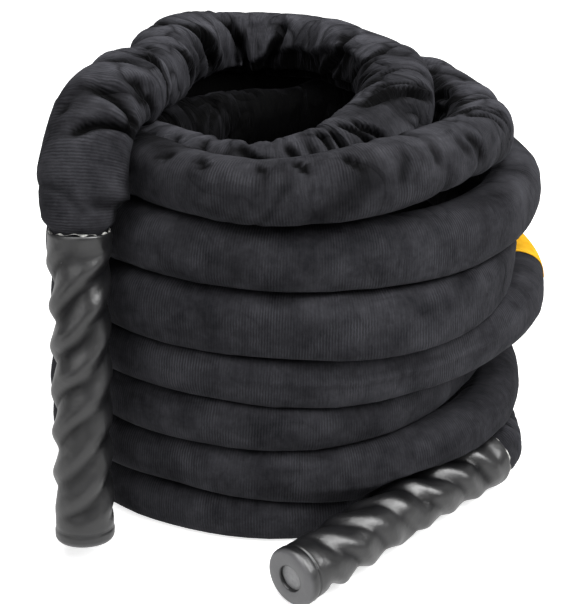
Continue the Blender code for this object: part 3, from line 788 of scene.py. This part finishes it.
def mark_material(own):
    """Plain yellow woven tape: bright, matt, with a fine weave and no lettering."""
    made, add = emptied(bpy.data.materials.new("yellow woven tape"))
    uv = add("UVMap", uv_map="unrolled")
    weave = add("TexWave", {"Vector": uv, "Scale": 1 / PATCH_WEAVE / WAVE_BANDS, "Distortion": 0.6},
                wave_type="BANDS", bands_direction="DIAGONAL")
    wear = add("TexNoise", {"Vector": uv, "Scale": per_metre(8.333), "Detail": 4.0})
    ramp = add("ValToRGB", {"Fac": wear}, stops=((0.3, own.colour), (0.7, own.bright_colour)))
    lumps = add("Bump", {"Strength": 0.35, "Distance": 0.0002, "Height": weave.outputs["Fac"]})
    shader = add("BsdfPrincipled", {"Base Color": ramp, "Roughness": 0.7, "Specular IOR Level": 0.2,
                                    "Normal": lumps})
    add("OutputMaterial", {"Surface": shader})
    return made


def sleeve_material(own):
    """Polyester rib-woven sleeving: dull black cloth whose fine ribs run round the rope."""
    made, add = emptied(bpy.data.materials.new("ribbed polyester sleeving"))
    uv = add("UVMap", uv_map="unrolled")
    place = add("TexCoord").outputs["Object"]
    # Ribs of the weave, one per rib_pitch along the rope, a little uneven, with threads across them
    ribs = add("TexWave", {"Vector": uv, "Scale": 1 / own.rib_pitch / WAVE_BANDS, "Distortion": 2.0,
                           "Detail": 2.0, "Detail Scale": 1.5},
               wave_type="BANDS", bands_direction="Y", wave_profile="SIN")
    stretched = add("Mapping", {"Vector": uv, "Scale": (per_metre(11.11), per_metre(1.4286), 1.0)})
    threads = add("TexNoise", {"Vector": stretched, "Scale": 1.0, "Detail": 3.0, "Roughness": 0.6})
    # Rubbed and dusty places, some 40 mm across
    wear = add("TexNoise", {"Vector": place, "Scale": per_metre(33.33), "Detail": 7.0, "Roughness": 0.72})
    fuzz = add("TexNoise", {"Vector": place, "Scale": per_metre(2.381), "Detail": 2.0})
    ramp = add("ValToRGB", {"Fac": wear}, stops=((0.32, own.colour), (0.72, own.worn_colour)))
    # The ribs show in patches only
    patches = add("TexNoise", {"Vector": place, "Scale": per_metre(26.32), "Detail": 2.0})
    patches = add("MapRange", {"Value": patches, "From Min": 0.38, "From Max": 0.66, "To Min": 0.95,
                               "To Max": 0.25})
    tone = add("Mix", {"Factor": patches, "A": ribs.outputs["Fac"], "B": threads.outputs["Fac"]},
               data_type="FLOAT")
    shade = add("MapRange", {"Value": tone, "From Min": 0.15, "From Max": 0.85, "To Min": 0.68,
                             "To Max": 1.32})
    coloured = add("VectorMath", {0: ramp, 1: shade}, operation="MULTIPLY")
    # Painted shade darkens the creases and the cloth out of the light, and painted highlight lightens the
    # backs and rims of folds
    rise_and_shading = add("Attribute", attribute_name="rise_and_shading").outputs["Fac"]
    painted_shading = add("MapRange", {"Value": rise_and_shading, "From Min": -1.0, "From Max": 1.0, "To Min": 0.04,
                            "To Max": 1.75})
    coloured = add("VectorMath", {0: coloured, 1: painted_shading}, operation="MULTIPLY")
    # Sharp little folds run round the rope where the cloth is gathered, seamless round it
    slack = add("Attribute", attribute_name="gathered").outputs["Fac"]
    apart = add("SeparateXYZ", {0: uv})
    angle = add("Math", {0: apart.outputs["X"], 1: 2 * math.pi / GIRTH}, operation="MULTIPLY")
    across = [add("Math", {0: angle}, operation=way) for way in ("COSINE", "SINE")]
    ring = add("CombineXYZ", {0: across[0], 1: across[1], 2: apart.outputs["Y"]})
    ring = add("Mapping", {"Vector": ring, "Scale": (0.50, 0.50, per_metre(33.333))})
    folds = add("TexNoise", {"Vector": ring, "Scale": 1.0, "Detail": 1.0, "Roughness": 0.35,
                             "Distortion": 0.2})
    folds = add("Math", {0: folds, 1: 0.5}, operation="SUBTRACT")
    folds = add("Math", {0: folds}, operation="ABSOLUTE")
    # Painted shade darkens the valleys of these folds, as much as the cloth is gathered
    valley_shade = add("MapRange", {"Value": folds, "From Max": 0.035, "To Min": 0.35, "To Max": 1.0})
    valley_shade = add("Mix", {0: slack, 2: 1.0, 3: valley_shade}, data_type="FLOAT")
    coloured = add("VectorMath", {0: coloured, 1: valley_shade}, operation="MULTIPLY")
    height = add("MapRange", {"Value": folds, "From Max": 0.12})
    # Small crumples between the modelled folds, deeper where the cloth is gathered
    crumple = add("Mapping", {"Vector": uv, "Scale": (per_metre(29.41), per_metre(7.692), 1.0)})
    crumple = add("TexNoise", {"Vector": crumple, "Scale": 1.0, "Detail": 4.0, "Roughness": 0.45,
                               "Distortion": 1.1})
    sharp = add("Math", {0: slack, 1: 0.85}, operation="MULTIPLY")
    soft = add("MapRange", {"Value": slack, "To Min": 0.10, "To Max": 0.95})
    relief = {}
    for strength, distance, raised in ((sharp, 0.0060, height), (0.30, 0.0004, tone), (0.5, 0.0006, threads),
                                       (0.4, 0.0004, fuzz), (soft, 0.0032, crumple)):
        relief = {"Normal": add("Bump", {"Strength": strength, "Distance": distance, "Height": raised,
                                         **relief})}
    shader = add("BsdfPrincipled", {"Base Color": coloured, "Roughness": 0.85, "Sheen Weight": 0.05,
                                    "Sheen Roughness": 0.40, "Sheen Tint": linear("#B9B9C6"),
                                    "Specular IOR Level": 0.06, **relief})
    add("OutputMaterial", {"Surface": shader})
    return made


# Grips, discs and glue

AROUND = 72                              # points round a grip
ROPE_RADIUS = 0.0190
MOUTH_FADE = (0.0060, 0.0240)            # where the strands start to show, from the mouth
END_FADE = (0.0320, 0.0140)              # where they stop to show, back from the end
# Profile of a grip's mouth, from its inside: millimetres from the mouth and radius
MOUTH_PROFILE = ((19.5, 19.6), (15.92, 19.6), (12.34, 19.6), (8.76, 19.6), (5.18, 19.6), (1.6, 19.6),
                 (0.6, 19.9), (0, 20.8), (0.5, 21.6))
# Profile of its end: millimetres back from the end, radius on the floor grip, radius on the hanging grip
# and how much paler the surface is made: band, groove, flare, rolled lip, face and the hole before the disc
END_PROFILE = ((10.9, 20.8, 20.7, 0), (10.4, 20.6, 20.7, 0), (9.9, 20.2, 20.8, 0), (9.4, 20.2, 20.8, 0),
               (8.8, 20.9, 20.9, 0), (8, 21.3, 21.3, 0), (6, 21.3, 21.3, 0), (4, 21.3, 21.3, 0),
               (2.6, 21.1, 21.1, 0.3), (1.4, 20.5, 20.5, 0.7), (0.5, 19.6, 19.6, 1), (0, 18, 18, 1),
               (0, 14, 14, 1), (0.1, 10.4, 10.4, 0.9), (0.5, 9.6, 9.6, 0), (1.2, 9.3, 9.3, 0),
               (3, 9.3, 9.3, 0))
HOLE_RADIUS = 0.0100


def grip_frame(mouth, direction):
    """Placement with the local Z axis running from a mouth into its grip."""
    return Matrix.Translation(mouth) @ direction.to_track_quat("Z", "Y").to_matrix().to_4x4()


def lay_swell(phi, s, phase):
    """Swell of the three laid strands: rounded backs, narrow valleys, each strand a little different."""
    x = 3 * (phi - 2 * math.pi * s / rope_lay) + phase
    x = x + 0.45 * np.sin(x + 0.6) + 0.35 * np.sin(phi * 2 + 61.0 * s)
    strand = 1.0 + 0.30 * np.sin(x / 3 + 47.0 * s)
    return strand * (2 * np.abs(np.cos(x / 2)) ** 1.1 - 1.15)


def grip_profile(hanging):
    """Rows of distance from the mouth, radius (none on the shaped outside) and how much paler the surface
    is made, from the inside of the mouth over the outside to the hole in the end."""
    rows = [(0.001 * s, 0.001 * radius, 0.0) for s, radius in MOUTH_PROFILE]
    rows += [(s, None, 0.0) for s in np.arange(0.0014, grip_length - 0.0112, 0.0021)]
    return rows + [(grip_length - 0.001 * back, 0.001 * (tied if hanging else plain), pale)
                   for back, plain, tied, pale in END_PROFILE]


def grip_ring(s, radius, phi, phase, own, waves, hanging):
    """Radii round a grip at one distance from its mouth, and how deep in a hollow each point lies; this
    sets the painted shade that dims its reflection.
    """
    uneven = sum(a * np.cos(n * phi + k * s + p) for k, n, p, a in waves) / 9
    if radius is not None:
        loose = 0.0008 * uneven if hanging and s > grip_length / 2 and radius > HOLE_RADIUS else 0.0
        return np.full_like(phi, radius) + loose, np.zeros_like(phi)
    end = smooth(grip_length - END_FADE[0], grip_length - END_FADE[1], s)
    start = smooth(*MOUTH_FADE, s)
    swell = lay_swell(phi, s, phase)
    r = 0.0199 + 0.0021 * (1 - smooth(0.0060, 0.0400, s)) + 0.0009 * end
    r = r + own.lobe_height * swell * start * (1 - end)
    r = r + 0.0018 * uneven * (1 - 0.55 * end) * smooth(0.0, 0.012, s)
    shown = start * (1 - smooth(grip_length - 0.03, grip_length - END_FADE[1], s))
    return r, np.clip(-0.15 - swell, 0, 1) * shown


class ROPE_OT_grips(bpy.types.Operator):
    """Builds both shrunk-on grips, with the strands showing through, the end band and the rolled lip"""
    bl_idname = "rope.grips"
    bl_label = "Shrunk-on grips"

    def execute(self, context):
        own = settings().grip
        tube = grip_material(own)
        phases = own.phase_hanging, own.phase_floor
        for (side, mouth, direction), phase, seed in zip(ENDS, phases, (7, 11)):
            rng = np.random.default_rng(seed)
            waves = [(rng.uniform(25, 190), rng.integers(0, 5), rng.uniform(0, 6.28), rng.uniform(0.3, 1.0))
                     for _ in range(14)]
            bm = bmesh.new()
            for name in ("paler", "hollow"):
                bm.verts.layers.float.new(name)
            paler, hollow = (bm.verts.layers.float[name] for name in ("paler", "hollow"))
            bmesh.ops.create_circle(bm, segments=AROUND, radius=0.02)
            edges, verts = list(bm.edges), list(bm.verts)
            for i, (s, radius, pale) in enumerate(grip_profile(side == "hanging")):
                if i:
                    made = bmesh.ops.extrude_edge_only(bm, edges=edges)["geom"]
                    edges = [e for e in made if isinstance(e, bmesh.types.BMEdge)]
                    verts = [v for v in made if isinstance(v, bmesh.types.BMVert)]
                phi = np.array([math.atan2(v.co.y, v.co.x) for v in verts])
                radii, shaded = grip_ring(s, radius, phi, phase, own, waves, side == "hanging")
                for v, angle, r, shade in zip(verts, phi, radii, shaded):
                    v.co = (r * math.cos(angle), r * math.sin(angle), s)
                    v[paler] = pale
                    v[hollow] = shade
            bmesh.ops.transform(bm, matrix=grip_frame(mouth, direction), verts=bm.verts)
            bmesh.ops.recalc_face_normals(bm, faces=bm.faces)
            # An open skin of the tube: the wall behind it is hidden by the rope
            name = f"shrunk_grip_{side}"
            link_piece(name, mesh_of(bm, name), tube, "shrink_tube", f"grip_{side}")
        return {"FINISHED"}


def grip_material(own):
    """Heat-shrunk polyolefin tube, semi-gloss black: broad soft highlights over the bumps, fine pitting."""
    made, add = emptied(bpy.data.materials.new("shrunk polyolefin tube"))
    place = add("TexCoord").outputs["Object"]
    pits = add("TexNoise", {"Vector": place, "Scale": per_metre(1.111), "Detail": 2.0})
    waves = add("TexNoise", {"Vector": place, "Scale": per_metre(9.091), "Detail": 4.0})
    wear = add("TexNoise", {"Vector": place, "Scale": per_metre(26.32), "Detail": 6.0, "Roughness": 0.65})
    gloss = add("MapRange", {"Value": wear, "From Min": 0.3, "From Max": 0.7, "To Min": 0.30,
                             "To Max": 0.44})
    ramp = add("ValToRGB", {"Fac": wear}, stops=((0.30, own.colour), (0.75, linear("#19191B"))))
    # The rolled lip and the end face are made paler grey
    pale = add("Attribute", attribute_name="paler").outputs["Fac"]
    colour = add("Mix", {0: pale, 6: ramp, 7: linear("#5A5A5C")}, data_type="RGBA").outputs[2]
    # Painted shade: the reflection is dimmed in the hollows between the strands
    low = add("Attribute", attribute_name="hollow").outputs["Fac"]
    shine = add("MapRange", {"Value": low, "To Min": 0.58, "To Max": 0.12})
    broad = add("Bump", {"Strength": 0.55, "Distance": 0.0010, "Height": waves})
    pitted = add("Bump", {"Strength": 0.12, "Distance": 0.0002, "Height": pits, "Normal": broad})
    shader = add("BsdfPrincipled", {"Base Color": colour, "Roughness": gloss, "IOR": 1.75,
                                    "Specular IOR Level": shine, "Normal": pitted})
    add("OutputMaterial", {"Surface": shader})
    return made


class ROPE_OT_glue(bpy.types.Operator):
    """Builds the uneven glue lines at both mouths"""
    bl_idname = "rope.glue"
    bl_label = "Glue lines"

    def execute(self, context):
        glue = glue_material()
        # The ring is spun with a section of radius 1, far wider than its section, and then drawn in
        wide_ring, glue_ring, bead = 20.0, 0.0205, 0.0009
        for (side, mouth, direction), seed in zip(ENDS, (3, 5)):
            rng = np.random.default_rng(seed)
            bm = bmesh.new()
            bmesh.ops.create_circle(bm, segments=10, radius=1.0, matrix=Matrix.Rotation(math.pi / 2, 4, "X"))
            bmesh.ops.translate(bm, verts=bm.verts, vec=(wide_ring, 0.0, 0.0))
            bmesh.ops.spin(bm, geom=bm.verts[:] + bm.edges[:], cent=(0, 0, 0), axis=(0, 0, 1), steps=160,
                           angle=2 * math.pi, use_merge=True, use_duplicate=False)
            phases = rng.uniform(0, 6.28, 8)
            for v in bm.verts:
                phi = math.atan2(v.co.y, v.co.x)
                out = Vector((math.cos(phi), math.sin(phi), 0))
                lumps = sum(math.cos((2 * k + 2) * phi + p) for k, p in enumerate(phases))
                thick = 0.50 + 0.50 * lumps / 2.4
                wave = 0.0007 * math.sin(3 * phi + phases[0]) + 0.0005 * math.sin(11 * phi + phases[1])
                away = (v.co - wide_ring * out) * (min(max(0.10, thick), 1.30) * bead)
                v.co = glue_ring * out + Vector((0, 0, wave - 0.0004)) + away
            bmesh.ops.transform(bm, matrix=grip_frame(mouth, direction), verts=bm.verts)
            bmesh.ops.recalc_face_normals(bm, faces=bm.faces)
            name = f"glue_line_{side}"
            link_piece(name, mesh_of(bm, name), glue, "glue", f"glue_bead_{side}")
        return {"FINISHED"}


def glue_material():
    """Hot-melt glue squeezed out at the mouth: pale, cloudy and shiny."""
    made, add = emptied(bpy.data.materials.new("squeezed-out hot-melt glue"))
    place = add("TexCoord").outputs["Object"]
    cloud = add("TexNoise", {"Vector": place, "Scale": per_metre(6.25), "Detail": 4.0})
    ramp = add("ValToRGB", {"Fac": cloud}, stops=((0.42, linear("#5C5C5A")), (0.62, linear("#D9D9D4"))))
    lumps = add("Bump", {"Strength": 0.6, "Distance": 0.0004, "Height": cloud})
    shader = add("BsdfPrincipled", {"Base Color": ramp, "Roughness": 0.28, "IOR": 1.5, "Normal": lumps})
    add("OutputMaterial", {"Surface": shader})
    return made


class ROPE_OT_rope(bpy.types.Operator):
    """Builds the laid rope inside the sleeve and both grips, and finishes the end discs"""
    bl_idname = "rope.laid_rope"
    bl_label = "Laid rope and end discs"

    def execute(self, context):
        even, fine, _ = fine_route()
        inner = fine[(even > 1.5 * tuck_length) & (even < even[-1] - 1.5 * tuck_length)]
        steps = np.arange(grip_length - 0.0060, -0.010, -0.006)[:, None]
        first, last = (np.array(mouth) + np.array(direction) * steps for _, mouth, direction in ENDS)
        rough = np.concatenate([first, inner, last[::-1]])
        along = distances(rough)
        place = np.linspace(0.0, along[-1], int(along[-1] / 0.0085))
        line = at_places(place, along, rough)
        _, out, up = ring_frames(line)
        # Three round strands, each touching the other two, with the valleys between them filled in part
        sides, strand = 24, ROPE_RADIUS / (1 + 2 / math.sqrt(3))
        centre = ROPE_RADIUS - strand
        turn = np.arange(sides)[None, :] / sides
        lay = 2 * math.pi * (turn + place[:, None] / rope_lay)
        off = np.mod(lay, 2 * math.pi / 3) - math.pi / 3
        chord = np.maximum(strand ** 2 - (centre * np.sin(off)) ** 2, 0.0)
        radius = np.maximum(centre * np.cos(off) + np.sqrt(chord), 0.80 * ROPE_RADIUS)
        ends = smooth(0.0, 0.03, np.minimum(place, place[-1] - place) - grip_length)
        radius = radius * (0.90 + 0.10 * ends[:, None])
        points = (line[:, None] + ring_directions(turn, out, up) * radius[..., None]).reshape(-1, 3)
        points[:, 2] = np.maximum(points[:, 2], 0.0015)
        mesh = tube_mesh("laid_rope", line, ROPE_RADIUS, sides)
        shape_tube(mesh, points, sides, 2 * math.pi * ROPE_RADIUS, place)
        link_piece("laid_rope", mesh, fibre_material(), "rope_fibre", "rope_core")
        disc = disc_material()
        for name in ("end_disc_hanging", "end_disc_floor"):
            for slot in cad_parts[name].material_slots:
                slot.material = disc
        return {"FINISHED"}


def fibre_material():
    """Twisted polyester fibre, dull black: thin slanting yarns."""
    made, add = emptied(bpy.data.materials.new("twisted polyester fibre"))
    uv = add("UVMap", uv_map="unrolled")
    slant = add("Mapping", {"Vector": uv, "Rotation": (0.0, 0.0, 0.35),
                            "Scale": (per_metre(1.111), per_metre(16.667), 1.0)})
    yarns = add("TexNoise", {"Vector": slant, "Scale": 1.0, "Detail": 4.0, "Roughness": 0.7})
    ramp = add("ValToRGB", {"Fac": yarns}, stops=((0.3, linear("#151516")), (0.7, linear("#2A2A2C"))))
    lumps = add("Bump", {"Strength": 0.6, "Distance": 0.0008, "Height": yarns})
    shader = add("BsdfPrincipled", {"Base Color": ramp, "Roughness": 0.8, "Normal": lumps})
    add("OutputMaterial", {"Surface": shader})
    return made


def disc_material():
    """Moulded grey plastic plug: even, matt, faintly scuffed."""
    made, add = emptied(bpy.data.materials.new("moulded grey plastic"))
    place = add("TexCoord").outputs["Object"]
    scuff = add("TexNoise", {"Vector": place, "Scale": per_metre(3.846), "Detail": 5.0, "Roughness": 0.65})
    ramp = add("ValToRGB", {"Fac": scuff}, stops=((0.3, linear("#88888A")), (0.7, linear("#A2A2A3"))))
    lumps = add("Bump", {"Strength": 0.25, "Distance": 0.0002, "Height": scuff})
    shader = add("BsdfPrincipled", {"Base Color": ramp, "Roughness": 0.5, "Normal": lumps})
    add("OutputMaterial", {"Surface": shader})
    return made


# Stage

class ROPE_OT_stage(bpy.types.Operator):
    """Sets the pale floor, the soft studio lights, the white surround and the camera"""
    bl_idname = "rope.stage"
    bl_label = "Stage"

    def execute(self, context):
        scene, own = context.scene, settings().stage
        bm = bmesh.new()
        bmesh.ops.create_grid(bm, x_segments=1, y_segments=1, size=own.floor_size / 2)
        floor = in_scene("stage_floor", mesh_of(bm, "stage_floor"))
        floor.data.materials.append(floor_material())

        for name, place, size, power in (
                ("key_light", (1.25, -0.60, 1.35), 1.1, own.key_power),
                ("fill_light", (-0.80, -1.30, 1.25), 1.7, own.fill_power),
                ("top_light", (0.10, -0.25, 1.95), 2.0, own.top_power)):
            lamp = bpy.data.lights.new(name, "AREA")
            lamp.shape, lamp.size, lamp.energy = "SQUARE", size, power
            aimed(name, lamp, place, (0.0, 0.0, 0.15))
        scene.world = white_surround(own)

        camera = bpy.data.cameras.new("photo_camera")
        camera.sensor_fit, camera.sensor_width = "HORIZONTAL", FILM_WIDTH
        camera.lens = FILM_WIDTH * own.focal_pixels / PHOTO_WIDTH
        camera.clip_start = 0.05
        scene.camera = aimed("photo_camera", camera, own.camera_place, own.camera_aim)
        scene.view_settings.view_transform = "Standard"
        return {"FINISHED"}


def white_surround(own):
    """The white studio round the rope: white to the camera, dimmer in reflections and as a light."""
    world, add = emptied(bpy.data.worlds.new("white surround"))
    rays = add("LightPath").outputs
    mirrored = add("Math", {0: rays["Is Glossy Ray"], 1: own.mirrored_level}, operation="MULTIPLY")
    shown = add("Math", {0: rays["Is Camera Ray"], 1: mirrored}, operation="MAXIMUM")
    shown = add("Math", {0: shown, 1: rays["Is Transmission Ray"]}, operation="MAXIMUM")
    level = add("MapRange", {"Value": shown, "To Min": own.world_strength, "To Max": 1.0})
    back = add("Background", {"Color": linear("#FFFFFF"), "Strength": level})
    add("OutputWorld", {"Surface": back})
    return world


def floor_material():
    """Seamless white paper: it shows white, and the rope's shadow falls softly on it."""
    made, add = emptied(bpy.data.materials.new("white studio paper"))
    place = add("TexCoord").outputs["Object"]
    grain = add("TexNoise", {"Vector": place, "Scale": per_metre(1.4286), "Detail": 2.0})
    ramp = add("ValToRGB", {"Fac": grain}, stops=((0.0, linear("#EDEDED")), (1.0, linear("#F4F4F4"))))
    paper = add("BsdfDiffuse", {"Color": ramp})
    # The lights reach the far paper less, so it glows more there
    far = add("VectorMath", {0: place, 1: (0.0, 0.0, 0.0)}, operation="DISTANCE").outputs["Value"]
    far = add("MapRange", {"Value": far, "From Min": 0.6, "From Max": 1.6, "To Min": 0.72, "To Max": 1.0})
    glow = add("Emission", {"Color": linear("#FFFFFF"), "Strength": far})
    rays = add("LightPath").outputs
    shown = add("Math", {0: rays["Is Camera Ray"], 1: rays["Is Transmission Ray"]}, operation="MAXIMUM")
    bright = add("AddShader", {0: paper, 1: glow})
    seen = add("MixShader", {0: shown, 1: paper, 2: bright})
    # Painted reflection: to reflected rays the paper glows white round the rope and dark in front, standing
    # in for the studio's dark side
    away = add("VectorMath", {0: place, 1: (-0.36, -0.66, 0.0)}, operation="DISTANCE").outputs["Value"]
    level = add("MapRange", {"Value": away, "From Min": 0.14, "From Max": 0.36, "To Min": 0.08,
                             "To Max": 1.0})
    mirrored = add("Emission", {"Color": linear("#FFFFFF"), "Strength": level})
    both = add("MixShader", {0: rays["Is Glossy Ray"], 1: seen, 2: mirrored})
    add("OutputMaterial", {"Surface": both})
    return made


# Settings, panel and registration

class SleeveSettings(bpy.types.PropertyGroup):
    fold_depth: FloatProperty(name="Fold depth", description="How deep the folds are, 1 as photographed",
                              default=1.0, min=0.0, max=1.5, subtype="FACTOR")
    rib_pitch: FloatProperty(name="Rib pitch", description="Distance from one rib of the weave to the next",
                             default=0.0018, min=0.0005, max=0.01, subtype="DISTANCE", unit="LENGTH")
    seed: IntProperty(name="Fold pattern", description="Number that picks the pattern of folds", default=12,
                      min=0)
    colour: FloatVectorProperty(name="Cloth", description="Colour of the clean cloth", size=4,
                                default=linear("#1C1C1F"), min=0.0, max=1.0, subtype="COLOR")
    worn_colour: FloatVectorProperty(name="Worn cloth", description="Colour of the rubbed cloth", size=4,
                                     default=linear("#3C3C40"), min=0.0, max=1.0, subtype="COLOR")


class MarkSettings(bpy.types.PropertyGroup):
    knot: FloatProperty(name="Place", description="Knot of the route where the patch starts", default=99.7)
    length: FloatProperty(name="Length", description="Length of the patch along the rope", default=0.075,
                          min=0.01, max=0.2, subtype="DISTANCE", unit="LENGTH")
    turn_from: FloatProperty(name="From", description="Turn round the rope where the patch starts",
                             default=0.0)
    turn_to: FloatProperty(name="To", description="Turn round the rope where the patch ends", default=0.27)
    colour: FloatVectorProperty(name="Tape", description="Colour of the tape", size=4,
                                default=linear("#F3AE12"), min=0.0, max=1.0, subtype="COLOR")
    bright_colour: FloatVectorProperty(name="Bright tape", description="Colour of its clean places", size=4,
                                       default=linear("#FFC62E"), min=0.0, max=1.0, subtype="COLOR")


class GripSettings(bpy.types.PropertyGroup):
    lobe_height: FloatProperty(name="Bump height", description="How far the strands swell the shrunk tube",
                               default=0.0020, min=0.0, max=0.003, subtype="DISTANCE", unit="LENGTH")
    phase_hanging: FloatProperty(name="Hanging bumps", description="Turn of the bumps on the hanging grip",
                                 default=1.9, subtype="ANGLE", unit="ROTATION")
    phase_floor: FloatProperty(name="Floor bumps", description="Turn of the bumps on the floor grip",
                               default=2.4, subtype="ANGLE", unit="ROTATION")
    colour: FloatVectorProperty(name="Tube", description="Colour of the shrunk tube", size=4,
                                default=linear("#0D0D0E"), min=0.0, max=1.0, subtype="COLOR")


class StageSettings(bpy.types.PropertyGroup):
    floor_size: FloatProperty(name="Floor size", description="Side of the paper floor", default=12.0,
                              subtype="DISTANCE", unit="LENGTH")
    key_power: FloatProperty(name="Key light", description="Right front soft box", default=27.0,
                             subtype="POWER", unit="POWER")
    fill_power: FloatProperty(name="Fill light", description="Left front soft box", default=9.5,
                              subtype="POWER", unit="POWER")
    top_power: FloatProperty(name="Top light", description="Soft box overhead", default=44.0,
                             subtype="POWER", unit="POWER")
    world_strength: FloatProperty(name="Surround", description="Light from the white surround", default=0.05,
                                  min=0.0, max=2.0)
    mirrored_level: FloatProperty(name="Mirrored surround", default=0.22, min=0.0, max=1.0,
                                  description="How bright the surround is in reflections")
    focal_pixels: FloatProperty(name="Focal length", description="In pixels of the picture's width",
                                default=1300.0)
    camera_place: FloatVectorProperty(name="Camera", description="Where the camera stands", size=3,
                                      default=(0.00395, -0.9712, 0.5415), subtype="XYZ", unit="LENGTH")
    camera_aim: FloatVectorProperty(name="Aim", description="Point that the camera looks at", size=3,
                                    default=(0.00395, 0.04056, 0.11), subtype="XYZ", unit="LENGTH")


class RopeSettings(bpy.types.PropertyGroup):
    sleeve: PointerProperty(type=SleeveSettings, name="Sleeve", description="The fabric sleeve")
    mark: PointerProperty(type=MarkSettings, name="Patch", description="The yellow patch")
    grip: PointerProperty(type=GripSettings, name="Grips", description="The shrunk-on grips")
    stage: PointerProperty(type=StageSettings, name="Stage", description="Floor, lights and camera")


class ROPE_PT_panel(bpy.types.Panel):
    """Lists the rope's settings and pieces"""
    bl_idname = "ROPE_PT_panel"
    bl_label = "Sleeved training rope"
    bl_space_type = "VIEW_3D"
    bl_region_type = "UI"
    bl_category = "Rope"

    def draw(self, context):
        for title, group, operators in (
                ("Grips", settings().grip, ("rope.grips", "rope.glue", "rope.laid_rope")),
                ("Sleeve", settings().sleeve, ("rope.sleeve",)), ("Patch", settings().mark, ("rope.mark",)),
                ("Stage", settings().stage, ("rope.stage",))):
            box = self.layout.box()
            box.label(text=title)
            for name in group.__annotations__:
                box.prop(group, name)
            for operator in operators:
                box.operator(operator)


classes = (SleeveSettings, MarkSettings, GripSettings, StageSettings, RopeSettings, ROPE_OT_grips,
           ROPE_OT_glue, ROPE_OT_rope, ROPE_OT_sleeve, ROPE_OT_mark, ROPE_OT_stage, ROPE_PT_panel)


def register():
    for made in classes:
        bpy.utils.register_class(made)
    bpy.types.Scene.rope_settings = PointerProperty(type=RopeSettings)


def unregister():
    del bpy.types.Scene.rope_settings
    for made in reversed(classes):
        bpy.utils.unregister_class(made)


def main():
    register()
    bpy.ops.rope.stage()
    bpy.ops.rope.grips()
    bpy.ops.rope.glue()
    bpy.ops.rope.laid_rope()
    bpy.ops.rope.sleeve()
    bpy.ops.rope.mark()


if __name__ == "__main__":
    main()
